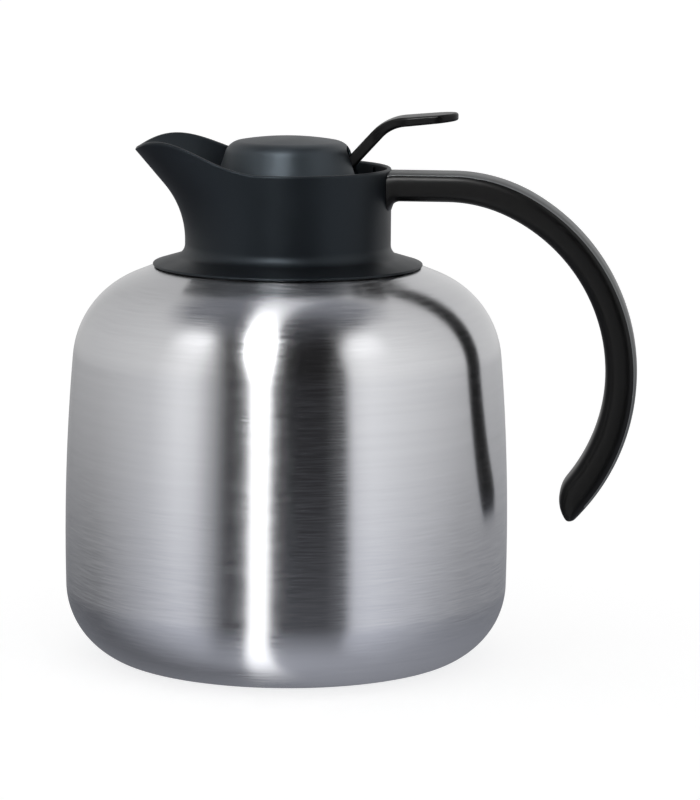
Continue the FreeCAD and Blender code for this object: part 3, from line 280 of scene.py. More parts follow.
# %% Steel body piece
NECK_R, SHELL_T, TURN_STEPS = 30.0, 0.6, 256
neck_top = float(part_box("outer_shell")[1][2]) / MM
outside = body_wall(0.0, NECK_R, neck_top)
inside = body_wall(SHELL_T, NECK_R - SHELL_T, neck_top)
both_walls = np.vstack([outside, inside[::-1]])
steel_body = grids_to_object("steel_body", [(turned(both_walls, TURN_STEPS), True, True)])
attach(steel_body, "jug")
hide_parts("outer_shell")

# %% [markdown]
# ## Collar with the beak
# The collar is one moulding: a flange over the shoulder, a round neck that grows into a
# pouring beak, and a throat with thread lugs. It could be a turned ring with a beak pulled out
# by hand, but the front line and the rim have to follow the photo. So its plan at each height
# is a circle at the rear and two curves of four control points at the front. The wall runs up
# to a wavy pouring rim, which a mould leaves softly rounded, so the rim and the edge of the
# flange get a bullnose.

# %% Columns of the collar
LEAVE = math.radians(80.0)
REAR_COUNT, FRONT_COUNT = 140, 70
rear_angle = np.linspace(-math.pi + LEAVE, math.pi - LEAVE, REAR_COUNT, endpoint=False)
front_share = np.linspace(0.0, 1.0, FRONT_COUNT, endpoint=False)
column_angle = np.concatenate([rear_angle, np.zeros(2 * FRONT_COUNT)])
column_share = np.concatenate([np.zeros(REAR_COUNT), front_share, 1.0 - front_share])
column_side = np.concatenate([np.ones(REAR_COUNT + FRONT_COUNT), -np.ones(FRONT_COUNT)])
column_rear = np.arange(len(column_angle)) < REAR_COUNT
print("columns round the collar:", len(column_angle))

# %% Plan of the collar
RIM_Z, SPOUT_START_BELOW_RIM = 176.687, 26.3
COLLAR_R, BEAK_OUT, SPOUT_ARC_R, SPOUT_FLARE = 36.9, 18.7, 30.0, math.radians(41.5)
SIDE_FULLNESS, NOSE_FULLNESS = 0.88, 0.38
SPOUT_START_Z = RIM_Z - SPOUT_START_BELOW_RIM


def beak_front(height):
    """Distance of the front line from the axis: an arc, then a straight flare."""
    rise = np.maximum(height - SPOUT_START_Z, 0.0)
    bend = SPOUT_ARC_R * math.sin(SPOUT_FLARE)
    on_arc = SPOUT_ARC_R - np.sqrt(SPOUT_ARC_R ** 2 - np.minimum(rise, bend) ** 2)
    return COLLAR_R + on_arc + np.maximum(rise - bend, 0.0) * math.tan(SPOUT_FLARE)


def collar_plan(height, wall):
    """Points of every column at its height: a circle behind, a four-point curve in front."""
    radius = COLLAR_R - wall
    front = beak_front(height) - wall / math.cos(SPOUT_FLARE)
    swell = (beak_front(height) - COLLAR_R) / BEAK_OUT
    round_handle = 4 / 3 * math.tan(LEAVE / 4)
    side = radius * (round_handle + (SIDE_FULLNESS - round_handle) * swell)
    tip = radius * (round_handle + (NOSE_FULLNESS - round_handle) * swell)
    leave_x, leave_y = -radius * math.cos(LEAVE), radius * math.sin(LEAVE)
    t, rest = column_share, 1.0 - column_share
    first, second, third = rest ** 3, 3 * rest ** 2 * t, 3 * rest * t ** 2
    x = first * leave_x + second * (leave_x - math.sin(LEAVE) * side) - (third + t ** 3) * front
    y = first * leave_y + second * (leave_y - math.cos(LEAVE) * side) + third * tip
    x = np.where(column_rear, radius * np.cos(column_angle), x)
    y = np.where(column_rear, radius * np.sin(column_angle), column_side * y)
    return np.stack([x, y, np.broadcast_to(height, x.shape)], axis=-1)


print("front of the beak at the rim:", round(float(beak_front(RIM_Z)), 2))

# %% Pouring rim
LIP_AT = np.array([6.0, 24.0, 45.5, 55.6, 66.5])
LIP_RISE = np.array([0.0, 3.9, 9.9, 6.1, -6.53])
LIP_END_SLOPE, RIM_PASSES = -1.56, 40
lip_step = np.diff(LIP_AT)
lip_grade = np.diff(LIP_RISE) / lip_step
lip_weight = 1 / lip_step
lip_matrix = np.diag(2 * (lip_weight[:-1] + lip_weight[1:]))
lip_matrix += np.diag(lip_weight[1:-1], 1) + np.diag(lip_weight[1:-1], -1)
lip_right = 3 * (lip_grade[:-1] * lip_weight[:-1] + lip_grade[1:] * lip_weight[1:])
lip_right[-1] -= LIP_END_SLOPE * lip_weight[-1]
LIP_SLOPE = np.concatenate([[0.0], np.linalg.solve(lip_matrix, lip_right), [LIP_END_SLOPE]])


def rim_height(forward):
    """Height of the rim at a distance ahead of the axis: cubic pieces with even curvature."""
    at = np.clip(forward, LIP_AT[0], LIP_AT[-1])
    span = np.clip(np.searchsorted(LIP_AT, at) - 1, 0, len(lip_step) - 1)
    t = (at - LIP_AT[span]) / lip_step[span]
    keep, move = (1 + 2 * t) * (1 - t) ** 2, t ** 2 * (3 - 2 * t)
    leave, arrive = t * (1 - t) ** 2 * LIP_SLOPE[span], t ** 2 * (1 - t) * LIP_SLOPE[span + 1]
    level = keep * LIP_RISE[span] + move * LIP_RISE[span + 1]
    return RIM_Z + level + lip_step[span] * (leave - arrive)


def rim_of(wall):
    """Rim height of every column, found by stepping height and plan in turn."""
    height = np.full(len(column_angle), RIM_Z)
    for _ in range(RIM_PASSES):
        height = (height + rim_height(-collar_plan(height, wall)[:, 0])) / 2
    return height


rim_line = rim_of(0.0)
print("rim crest:", round(float(rim_line.max()), 2),
      "tip:", round(float(rim_line[REAR_COUNT + FRONT_COUNT]), 2))

# %% Foot and throat of the collar
LEDGE_Z, FLOOR_Z = RIM_Z - 15.4, RIM_Z - 7.4
FLANGE_GAP, FLANGE_EDGE_T, FLANGE_SLOPE, FLANGE_ROUND_R = 0.5, 0.95, 16.0, 4.5
FLANGE_EDGE_START, EDGE_STEPS, FILLET_STEPS, NECK_STEPS, THROAT_STEPS = -70, 9, 10, 5, 8
HOLLOW_R, SLEEVE_R, SLEEVE_OUT_R, SLEEVE_LOW_Z = 34.7, 30.3, 33.0, 145.9
THROAT_R, THROAT_CHAMFER, LEDGE_BORE_R, LEDGE_T, FLOOR_T = 29.5, 0.4, 25.0, 2.0, 2.0
edge_round = FLANGE_EDGE_T / 2
slope = math.radians(FLANGE_SLOPE)
flange_low = SHOULDER_Z + FLANGE_GAP / math.cos(math.radians(SHOULDER_SLOPE))
edge_mid = (FLANGE_R - edge_round, flange_low + edge_round)
fillet_r = COLLAR_R + FLANGE_ROUND_R
flange_rise = (FLANGE_R - fillet_r) * math.tan(slope) + FLANGE_ROUND_R / math.cos(slope)
fillet_z = flange_low + FLANGE_EDGE_T + flange_rise
foot_profile = join_profile(
    arc_points(edge_mid, edge_round, FLANGE_EDGE_START, 90 - FLANGE_SLOPE, EDGE_STEPS),
    arc_points((fillet_r, fillet_z), FLANGE_ROUND_R, 270 - FLANGE_SLOPE, 180, FILLET_STEPS),
    line_points((COLLAR_R, fillet_z), (COLLAR_R, SPOUT_START_Z), NECK_STEPS)[1:],
)
chamfer_end = (THROAT_R, FLOOR_Z - THROAT_CHAMFER)
ledge_low, hollow_top = LEDGE_Z - LEDGE_T, FLOOR_Z - FLOOR_T
throat_profile = join_profile(
    [(THROAT_R + THROAT_CHAMFER, FLOOR_Z), chamfer_end],
    line_points(chamfer_end, (THROAT_R, LEDGE_Z), THROAT_STEPS),
    [(LEDGE_BORE_R, LEDGE_Z), (LEDGE_BORE_R, ledge_low), (SLEEVE_R, ledge_low)],
    [(SLEEVE_R, SLEEVE_LOW_Z), (SLEEVE_OUT_R, SLEEVE_LOW_Z), (SLEEVE_OUT_R, hollow_top)],
    [(HOLLOW_R, hollow_top), (HOLLOW_R, crown_height(HOLLOW_R, -FLANGE_GAP))],
    [crown_edge(-FLANGE_GAP)],
)
print("points of foot and throat:", len(foot_profile), len(throat_profile))

# %% Rows of the collar
RIM_WALL, RIM_ROUND, BULL_STEPS, OUTER_ROWS, INNER_ROWS = 1.6, 0.75, 9, 44, 36
spout_start = np.full(len(column_angle), SPOUT_START_Z)
throat_start = np.full(len(column_angle), FLOOR_Z)
start_plan = collar_plan(spout_start, 0.0)[:, :2]
column_way = start_plan / np.linalg.norm(start_plan, axis=1)[:, None]


def around(profile):
    """Rows of a profile of (radius, height) along the directions of the columns."""
    flat = profile[:, 0][:, None, None] * column_way[None]
    tall = np.broadcast_to(profile[:, 1][:, None, None], flat.shape[:2] + (1,))
    return np.concatenate([flat, tall], axis=2)


def wall_rows(start, end, wall, count):
    """Rows of the wall from one height per column to another."""
    share = np.linspace(0.0, 1.0, count)[:, None]
    return collar_plan(start * (1 - share) + end * share, wall)


outer_rim, inner_rim = rim_line - RIM_ROUND, rim_of(RIM_WALL) - RIM_ROUND
outer_edge, inner_edge = collar_plan(outer_rim, 0.0), collar_plan(inner_rim, RIM_WALL)
bull = np.radians(np.linspace(0.0, 180.0, BULL_STEPS))[1:-1, None, None]
crown = (outer_edge + inner_edge) / 2 + np.cos(bull) * (outer_edge - inner_edge) / 2
crown[:, :, 2] += RIM_ROUND * np.sin(bull[:, :, 0])
collar_rows = np.concatenate([
    around(foot_profile)[:-1],
    wall_rows(spout_start, outer_rim, 0.0, OUTER_ROWS),
    crown,
    wall_rows(inner_rim, throat_start, RIM_WALL, INNER_ROWS),
    around(throat_profile),
])
collar_rows[:, :, 0] += AXIS_X
collar_grids = [(collar_rows * MM, True, True)]
print("rows of the collar:", len(collar_rows))

# %% Thread lugs and index rib
LUG_COUNT, LUG_FIRST, LUG_SPAN, LUG_STEPS, LUG_ROOT = 4, 45.0, 30.0, 13, 0.2
THREAD_LEAD, LUG_T, LUG_BORE_R, LUG_MID_Z = 24.0, 1.6, 27.9, LEDGE_Z + 6.1
RIB_ANGLE, RIB_HALF, RIB_OUT, RIB_ROOT, RIB_BELOW_RIM = 35.0, 0.6, 0.6, 1.0, 1.5


def box_loop(inner, outer, low, high):
    """The four corners of a section between two radii and two heights."""
    return np.array([(inner, low), (outer, low), (outer, high), (inner, high)])


def bar(loop, stations):
    """A closed bar: a loop of (radius, height) at stations of (angle, lift) round the axis."""
    angle, lift = stations[:, 0][:, None], stations[:, 1][:, None]
    x, y = AXIS_X + loop[:, 0] * np.cos(angle), loop[:, 0] * np.sin(angle)
    return shut_ends(np.stack([x, y, loop[:, 1] + lift], axis=2))


lug_loop = box_loop(LUG_BORE_R, THROAT_R + LUG_ROOT, -LUG_T / 2, LUG_T / 2)
lug_turn = np.radians(np.linspace(-LUG_SPAN / 2, LUG_SPAN / 2, LUG_STEPS))
lug_path = np.stack([lug_turn, LUG_MID_Z + THREAD_LEAD * lug_turn / (2 * np.pi)], axis=1)
for lug in range(LUG_COUNT):
    turn_on = np.array([math.radians(LUG_FIRST + 360.0 / LUG_COUNT * lug), 0.0])
    collar_grids.append((bar(lug_loop, lug_path + turn_on), False, True))
rib_in = COLLAR_R - RIM_WALL - RIB_OUT
rib_loop = box_loop(rib_in, COLLAR_R - RIB_ROOT, FLOOR_Z, RIM_Z - RIB_BELOW_RIM)
rib_turn = math.radians(RIB_ANGLE) + np.array([-1.0, 1.0]) * RIB_HALF / rib_in
collar_grids.append((bar(rib_loop, np.stack([rib_turn, np.zeros(2)], axis=1)), False, True))
beak_collar = grids_to_object("beak_collar", collar_grids)
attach(beak_collar, "jug")
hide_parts("collar")

# %% [markdown]
# ## Handle
# The handle is a moulded grip with a grey strip let into its outer face. A bevelled curve
# would give one section all the way, but in the photo the grip thins to a rounded end, and its
# section lies between a box and an oval. So it is swept on ribs: each rib joins a point of the
# outer line to one of the inner line and carries a superellipse. Round the end the ribs grow
# shorter until the two lines meet. Two round pockets below hold the screw heads.

# %% Arcs of the handle
HANDLE_TOP_Z, HANDLE_LOW_Z = RIM_Z - 0.8, RIM_Z - 11.4
OUTER_R, OUTER_LEAD_LESS, OUTER_TURN, OUTER_REACH = 74.3, 15.3, 59.6, 125.7
INNER_R, INNER_LEAD_LESS, INNER_TURN, INNER_REACH = 61.7, 11.7, 66.1, 114.4
END_X, HEEL_R, TIP_R = 98.7, 12.0, 2.6


def main_middle(reach, radius, less, turn, level):
    """Centre of a main arc that is led in, from level, by an arc smaller by less."""
    drop = less * (1 - math.sin(math.radians(turn)))
    return np.array([reach - radius, level - radius + drop])


def circle_crossing(first, first_r, second, second_r):
    """Crossing of two circles, on the right of the way from the first centre to the second."""
    apart = np.linalg.norm(second - first)
    way = (second - first) / apart
    along = (first_r ** 2 - second_r ** 2 + apart ** 2) / (2 * apart)
    aside = math.sqrt(first_r ** 2 - along ** 2)
    return first + along * way + aside * np.array([way[1], -way[0]])


outer_mid = main_middle(OUTER_REACH, OUTER_R, OUTER_LEAD_LESS, OUTER_TURN, HANDLE_TOP_Z)
inner_mid = main_middle(INNER_REACH, INNER_R, INNER_LEAD_LESS, INNER_TURN, HANDLE_LOW_Z)
outer_lead = on_circle(outer_mid, OUTER_LEAD_LESS, OUTER_TURN)
inner_lead = on_circle(inner_mid, INNER_LEAD_LESS, INNER_TURN)
heel_out = END_X + HEEL_R - inner_mid[0]
heel_down = math.sqrt((INNER_R + HEEL_R) ** 2 - heel_out ** 2)
heel_mid = inner_mid + np.array([heel_out, -heel_down])
tip_mid = circle_crossing(outer_mid, OUTER_R - TIP_R, heel_mid, HEEL_R - TIP_R)
heel_start, heel_end = heading(heel_mid, inner_mid), heading(heel_mid, tip_mid) + 360.0
tip_start, inner_stop = heading(outer_mid, tip_mid), heading(inner_mid, heel_mid)
print("tip of the handle at", np.round(tip_mid - [0, TIP_R], 2))

# %% Root of the handle
ROOT_R, FLARE_R, FLARE_STEPS = COLLAR_R + 0.15, 3.5, 7
SCREW_AT, POCKET_R, POCKET_STEPS, PAST_POCKETS = (44.0, 50.5), 3.1, 13, (55.2, 57.0)
pocket_share = np.cos(np.linspace(math.pi, 0.0, POCKET_STEPS))
pocket_x = np.concatenate([x + POCKET_R * pocket_share for x in SCREW_AT])
flare_x = np.linspace(ROOT_R, ROOT_R + FLARE_R, FLARE_STEPS)
root_x = np.sort(np.concatenate([flare_x, pocket_x, [sum(SCREW_AT) / 2], PAST_POCKETS]))
flare_back = np.maximum(ROOT_R + FLARE_R - root_x, 0.0)
root_low = HANDLE_LOW_Z - FLARE_R + np.sqrt(FLARE_R ** 2 - flare_back ** 2)
print("ribs of the root:", len(root_x))

# %% Outer and inner line of the handle
STRIP_END, STRIP_GAP_TURN, TIP_MEET = -40.0, 0.15, -115.0
LEAD_STEPS, MAIN_STEPS, BACK_STEPS, TIP_STEPS, HEEL_STEPS, UNDER_STEPS = 28, 100, 30, 30, 60, 20
END_RIBS = 40


def even_steps(run, count):
    """Points at even steps of length along a run of points."""
    steps = np.linalg.norm(np.diff(run, axis=0), axis=1)
    length = np.concatenate([[0.0], np.cumsum(steps)])
    stops = np.linspace(0.0, length[-1], count)
    columns = [np.interp(stops, length, run[:, axis]) for axis in (0, 1)]
    return np.stack(columns, axis=1)


outer_swept = np.vstack([
    np.stack([root_x, np.full(len(root_x), HANDLE_TOP_Z)], axis=1),
    arc_points(outer_lead, OUTER_R - OUTER_LEAD_LESS, 90, OUTER_TURN, LEAD_STEPS),
    arc_points(outer_mid, OUTER_R, OUTER_TURN, STRIP_END + STRIP_GAP_TURN, MAIN_STEPS)[1:],
])
inner_swept = np.vstack([
    np.stack([root_x, root_low], axis=1),
    arc_points(inner_lead, INNER_R - INNER_LEAD_LESS, 90, INNER_TURN, LEAD_STEPS),
    arc_points(inner_mid, INNER_R, INNER_TURN, inner_stop + STRIP_GAP_TURN, MAIN_STEPS)[1:],
])
outer_end = join_profile(
    arc_points(outer_mid, OUTER_R, STRIP_END, tip_start, BACK_STEPS),
    arc_points(tip_mid, TIP_R, tip_start, TIP_MEET, TIP_STEPS),
)
inner_end = join_profile(
    arc_points(heel_mid, HEEL_R, heel_start, heel_end, HEEL_STEPS),
    arc_points(tip_mid, TIP_R, heel_end, TIP_MEET + 360.0, UNDER_STEPS),
)
outer_run = np.vstack([outer_swept, even_steps(outer_end, END_RIBS)[:-1]])
inner_run = np.vstack([inner_swept, even_steps(inner_end, END_RIBS)[:-1]])
strip_ribs, all_ribs = len(outer_swept), len(outer_run)
print("ribs:", all_ribs, "of them under the strip:", strip_ribs)

# %% Ribs and sections
SECTION_POWER, HALF_W, END_NARROWING = 4.0, 9.5, 0.55
rib_mid = (outer_run + inner_run) / 2
half_deep = np.linalg.norm(outer_run - inner_run, axis=1) / 2
rib_way = (outer_run - inner_run) / (2 * half_deep)[:, None]
past_strip = np.arange(all_ribs) >= strip_ribs
shorter = np.where(past_strip, 1 - half_deep / half_deep[strip_ribs], 0.0)
half_wide = HALF_W * np.sqrt(1 - END_NARROWING * shorter ** 2)


def oval(across):
    """Superellipse: reach outwards at a share across, both in shares of the half sizes."""
    return (1.0 - np.abs(across) ** SECTION_POWER) ** (1.0 / SECTION_POWER)


def on_ribs(ribs, across, outwards):
    """Section points in shares of the rib sizes, set on ribs; the first rib hugs the collar."""
    reach = (half_deep[ribs][:, None] * outwards)[:, :, None] * rib_way[ribs][:, None]
    flat = rib_mid[ribs][:, None] + reach
    y = half_wide[ribs][:, None] * across
    x = flat[:, :, 0]
    x[0] = np.sqrt(ROOT_R ** 2 - y[0] ** 2)
    return np.stack([x + AXIS_X, y, flat[:, :, 1]], axis=2)


print("half depth of the ribs:", np.round([half_deep.min(), half_deep.max()], 2))

# %% Side of the grip
SEAM_HALF, SIDE_COUNT = 8.3, 36
POCKET_LEAST, FLUSH_HALF = 0.25, 1.0
ribs = np.concatenate([np.arange(strip_ribs + 1), np.arange(strip_ribs, all_ribs)])
rib_x = np.where(ribs < len(root_x), rib_mid[ribs][:, 0], 0.0)
pocket_square = np.max([POCKET_R ** 2 - (rib_x - x) ** 2 for x in SCREW_AT], axis=0)
in_pocket = pocket_square > -SAME_POINT
pocket_side = np.sqrt(np.maximum(pocket_square, POCKET_LEAST ** 2))
pocket_half = np.where(in_pocket, pocket_side, FLUSH_HALF) / half_wide[ribs]
seam_turn = math.acos((SEAM_HALF / HALF_W) ** (SECTION_POWER / 2))
low_turn = -np.arccos(pocket_half ** (SECTION_POWER / 2))
side_turn = seam_turn + (low_turn[:, None] - seam_turn) * np.linspace(0.0, 1.0, SIDE_COUNT)
side_across = np.cos(side_turn) ** (2 / SECTION_POWER)
side_outwards = np.sign(side_turn) * np.abs(np.sin(side_turn)) ** (2 / SECTION_POWER)
print("ribs across the pockets:", int(in_pocket.sum()))

# %% Handle grip
STRIP_T, STRIP_FIT, TOP_COUNT = 2.5, 0.2, 16
POCKET_Z, POCKET_DRAFT, SEAM_LAP = HANDLE_TOP_Z - 8.0, 0.97, 0.05
recessed = np.arange(len(ribs)) <= strip_ribs
floor_across = POCKET_DRAFT * pocket_half[:, None] * np.array([1.0, -1.0])
pocket_floor = (POCKET_Z - rib_mid[ribs][:, 1]) / half_deep[ribs]
floor_outwards = np.where(in_pocket[:, None], pocket_floor[:, None], -oval(floor_across))
top_share = np.linspace(-1, 1, TOP_COUNT) * (SEAM_HALF - SEAM_LAP) / HALF_W
top_across = np.broadcast_to(top_share, (len(ribs), TOP_COUNT))
seat = 1 - (STRIP_T + STRIP_FIT) / half_deep[ribs]
top_outwards = np.where(recessed[:, None], seat[:, None], oval(top_across))
grip_across = np.hstack([side_across, floor_across, -side_across[:, ::-1], top_across])
grip_outwards = np.hstack([side_outwards, floor_outwards, side_outwards[:, ::-1], top_outwards])
grip_rows = shut_ends(on_ribs(ribs, grip_across, grip_outwards))
handle_grip = grids_to_object("handle_grip", [(grip_rows, False, True)])
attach(handle_grip, "jug")
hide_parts("handle_body")

# %% Handle strip
STRIP_HALF, STRIP_EDGE, EDGE_STEPS_ACROSS, FACE_STEPS = 8.1, 0.35, 6, 12
edge_in = STRIP_EDGE * (1 - np.cos(np.radians(np.linspace(0, 90, EDGE_STEPS_ACROSS))))
face_half = np.linspace(STRIP_HALF - STRIP_EDGE, 0.0, FACE_STEPS)
half_strip = np.concatenate([STRIP_HALF - edge_in[:-1], face_half])
edge_near = np.maximum(STRIP_EDGE - (STRIP_HALF - half_strip), 0.0)
edge_drop = STRIP_EDGE - np.sqrt(STRIP_EDGE ** 2 - edge_near ** 2)
strip_share = np.concatenate([-half_strip, half_strip[-2::-1]]) / HALF_W
strip_drop = np.concatenate([edge_drop, edge_drop[-2::-1]])
strip_rows = np.arange(strip_ribs)
strip_top = oval(strip_share)[None] - strip_drop[None] / half_deep[strip_rows][:, None]
strip_floor = np.repeat((1 - STRIP_T / half_deep[strip_rows])[:, None], 2, axis=1)
strip_across = np.concatenate([strip_share, np.array([1.0, -1.0]) * STRIP_HALF / HALF_W])
strip_across = np.broadcast_to(strip_across, (strip_ribs, len(strip_across)))
strip_points = on_ribs(strip_rows, strip_across, np.hstack([strip_top, strip_floor]))
handle_strip = grids_to_object("handle_strip", [(shut_ends(strip_points), False, True)])
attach(handle_strip, "jug")
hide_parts("handle_cover")

# %% [markdown]
# ## Patterns for the finishes
# Brushed steel has fine lines that run round the body. Moulded plastic has a fine grain from
# the eroded mould and slow, faint blotches. Both could come from pictures, but pictures need
# an unwrapped surface and show their edges. Here they are noise on the place in space: for the
# lines it changes fast with height and slowly round the axis. Each pattern is a node group
# that puts out only values, so several finishes share it.

# %% Noise and groups
def noise_node(tree, vector, scale, detail, roughness=0.5):
    """Noise on a vector, as fine as the socket of the scale says."""
    node = tree.nodes.new("ShaderNodeTexNoise")
    node.inputs["Detail"].default_value = detail
    node.inputs["Roughness"].default_value = roughness
    tree.links.new(scale, node.inputs["Scale"])
    tree.links.new(vector, node.inputs["Vector"])
    return node.outputs["Fac"]


def new_group(name, inputs, outputs):
    """A node group with float inputs (name, default), float outputs and the place in space."""
    group = bpy.data.node_groups.new(name, "ShaderNodeTree")
    for label, default in inputs:
        socket = group.interface.new_socket(label, in_out="INPUT", socket_type="NodeSocketFloat")
        socket.default_value = default
    for label in outputs:
        group.interface.new_socket(label, in_out="OUTPUT", socket_type="NodeSocketFloat")
    entry = group.nodes.new("NodeGroupInput")
    leave = group.nodes.new("NodeGroupOutput")
    where = group.nodes.new("ShaderNodeTexCoord").outputs["Object"]
    return group, entry.outputs, leave.inputs, where


print("node groups at the start:", len(bpy.data.node_groups))

# %% Brush lines and moulded grain
LINE_SCALE, BAND_SCALE, ROUND_STRETCH, LINE_ROUGH = 2600.0, 420.0, 0.03, 0.6
GRAIN_SCALE, BLOTCH_SCALE = 5200.0, 70.0
FINE_DETAIL, SLOW_DETAIL = 2.0, 3.0
brush, brush_in, brush_out, in_space = new_group(
    "brush lines", [("Fine", LINE_SCALE), ("Coarse", BAND_SCALE)], ["Lines", "Bands"])
stretch = brush.nodes.new("ShaderNodeMapping")
stretch.inputs["Scale"].default_value = (ROUND_STRETCH, ROUND_STRETCH, 1.0)
brush.links.new(in_space, stretch.inputs["Vector"])
drawn_out = stretch.outputs["Vector"]
lines = noise_node(brush, drawn_out, brush_in["Fine"], FINE_DETAIL, LINE_ROUGH)
bands = noise_node(brush, drawn_out, brush_in["Coarse"], SLOW_DETAIL, LINE_ROUGH)
brush.links.new(lines, brush_out["Lines"])
brush.links.new(bands, brush_out["Bands"])

grain, grain_in, grain_out, in_space = new_group(
    "moulded grain", [("Fine", GRAIN_SCALE), ("Blotch", BLOTCH_SCALE)], ["Grain", "Blotches"])
fine = noise_node(grain, in_space, grain_in["Fine"], FINE_DETAIL)
blotch = noise_node(grain, in_space, grain_in["Blotch"], SLOW_DETAIL)
grain.links.new(fine, grain_out["Grain"])
grain.links.new(blotch, grain_out["Blotches"])
print("groups:", [group.name for group in bpy.data.node_groups])

# %% [markdown]
# ## Finishes
# The body is steel brushed round its axis, which draws each highlight out across the lines, so
# its shader is anisotropic as well as lined. The hidden steel is plain. The plastics are
# nearly black. What tells them apart is how they shine: the collar has a cool, matt sheen, the
# dome the same sheen but stronger, and grip and lever a tighter, fainter one. Plain colours
# would look like painted card, so the patterns stir colour, roughness and height a little.

# %% Stirred colour, roughness and height
NOISE_LOW, NOISE_HIGH = 0.3, 0.7


def colour_ramp(tree, factor, stops):
    """Colour that runs straight from stop to stop of (position, colour) as the factor grows."""
    node = tree.nodes.new("ShaderNodeValToRGB")
    elements = node.color_ramp.elements
    while len(elements) < len(stops):
        elements.new(0.5)
    for element, (position, colour) in zip(elements, stops):
        element.position = position
        element.color = (*colour, 1.0)
    tree.links.new(factor, node.inputs["Fac"])
    return node.outputs["Color"]


def stirred_colour(tree, noise, colours):
    """From the dark to the light colour as a noise crosses its middle range."""
    return colour_ramp(tree, noise, list(zip((NOISE_LOW, NOISE_HIGH), colours)))


def stirred_value(tree, noise, limits):
    """From the low to the high limit as a noise crosses its middle range."""
    node = tree.nodes.new("ShaderNodeMapRange")
    node.inputs["From Min"].default_value = NOISE_LOW
    node.inputs["From Max"].default_value = NOISE_HIGH
    node.inputs["To Min"].default_value, node.inputs["To Max"].default_value = limits
    tree.links.new(noise, node.inputs["Value"])
    return node.outputs["Result"]


def stirred_normal(tree, height, strength, depth):
    """Normal of a surface that a height lifts by up to depth, in metres."""
    node = tree.nodes.new("ShaderNodeBump")
    node.inputs["Strength"].default_value = strength
    node.inputs["Distance"].default_value = depth
    tree.links.new(height, node.inputs["Height"])
    return node.outputs["Normal"]


print("middle range of a noise:", NOISE_LOW, "to", NOISE_HIGH)

# %% Steel
LINE_SHARE, LINE_BUMP, LINE_DEPTH, BRUSH_ROTATION = 0.6, 0.08, 0.00002, 0.25
# Dark and light colour, least and most roughness, streak of the highlight.
STEELS = {
    "brushed_steel": (((0.572, 0.574, 0.590), (0.628, 0.630, 0.646)), (0.17, 0.265), 0.9),
    "plain_steel": (((0.50, 0.50, 0.50), (0.60, 0.60, 0.60)), (0.22, 0.32), 0.0),
}


def put(tree, socket, value):
    """Sets a number or a colour on a socket, or links another socket to it."""
    if isinstance(value, (int, float, tuple)):
        socket.default_value = value
    else:
        tree.links.new(value, socket)


def math_node(tree, operation, *values):
    """The result of a math node; each value is a number or a socket."""
    node = tree.nodes.new("ShaderNodeMath")
    node.operation = operation
    for socket, value in zip(node.inputs, values):
        put(tree, socket, value)
    return node.outputs[0]


def new_finish(name, metallic, colours, rough, group):
    """A material with one placed pattern; its plain values serve where nodes aren't read."""
    material = bpy.data.materials.new(name.replace("_", " "))
    material.use_nodes = True
    tree = material.node_tree
    shader = tree.nodes["Principled BSDF"].inputs
    shader["Base Color"].default_value = (*colours[1], 1.0)
    shader["Roughness"].default_value = rough[0]
    shader["Metallic"].default_value = metallic
    pattern = tree.nodes.new("ShaderNodeGroup")
    pattern.node_tree = group
    return material, tree, shader, pattern.outputs


def brushed_steel(name, colours, rough, streak):
    """Steel with brush lines round the axis in colour, roughness and height."""
    material, tree, shader, pattern = new_finish(name, 1.0, colours, rough, brush)
    shader["Anisotropic"].default_value = streak
    shader["Anisotropic Rotation"].default_value = BRUSH_ROTATION
    both = math_node(tree, "ADD", math_node(tree, "MULTIPLY", pattern["Lines"], LINE_SHARE),
                     math_node(tree, "MULTIPLY", pattern["Bands"], 1 - LINE_SHARE))
    tree.links.new(stirred_colour(tree, both, colours), shader["Base Color"])
    tree.links.new(stirred_value(tree, pattern["Lines"], rough), shader["Roughness"])
    tree.links.new(stirred_normal(tree, pattern["Lines"], LINE_BUMP, LINE_DEPTH), shader["Normal"])
    return material


finishes = {name: brushed_steel(name, *look) for name, look in STEELS.items()}
print("steels:", sorted(finishes))

# %% Plastic, rubber and solder
GRAIN_DEPTH = 0.00006
CLEAR, COOL_SHEEN = (1.0, 1.0, 1.0), (0.74, 0.88, 1.0)
# Dark and light colour, least and most roughness, then shine, bump and tint of the shine.
PLASTICS = {
    "solder": (((0.28, 0.28, 0.29), (0.36, 0.36, 0.37)), (0.45, 0.6)),
    "dark_plastic": (
        ((0.0030, 0.0039, 0.0052), (0.0040, 0.0050, 0.0066)), (0.40, 0.46), 0.34, 0.15, COOL_SHEEN),
    "satin_dome": (
        ((0.0036, 0.0044, 0.0056), (0.0048, 0.0057, 0.0070)), (0.42, 0.48), 0.7, 0.3, COOL_SHEEN),
    "black_plastic": (((0.0028, 0.0028, 0.0029), (0.0038, 0.0038, 0.0040)), (0.30, 0.36), 0.2),
    "grey_plastic": (((0.066, 0.070, 0.072), (0.080, 0.084, 0.086)), (0.36, 0.44)),
    "valve_plastic": (((0.020, 0.020, 0.022), (0.03, 0.03, 0.032)), (0.4, 0.5)),
    "silicone": (((0.50, 0.51, 0.51), (0.58, 0.59, 0.59)), (0.5, 0.62)),
}


def moulded_plastic(name, colours, rough, shine=0.5, bump=0.15, tint=CLEAR):
    """Matt plastic: slow blotches in colour and roughness, fine grain in height."""
    material, tree, shader, pattern = new_finish(name, 0.0, colours, rough, grain)
    shader["Specular IOR Level"].default_value = shine
    shader["Specular Tint"].default_value = (*tint, 1.0)
    tree.links.new(stirred_colour(tree, pattern["Blotches"], colours), shader["Base Color"])
    tree.links.new(stirred_value(tree, pattern["Blotches"], rough), shader["Roughness"])
    tree.links.new(stirred_normal(tree, pattern["Grain"], bump, GRAIN_DEPTH), shader["Normal"])
    return material


finishes.update({name: moulded_plastic(name, *look) for name, look in PLASTICS.items()})
print("finishes:", sorted(finishes))

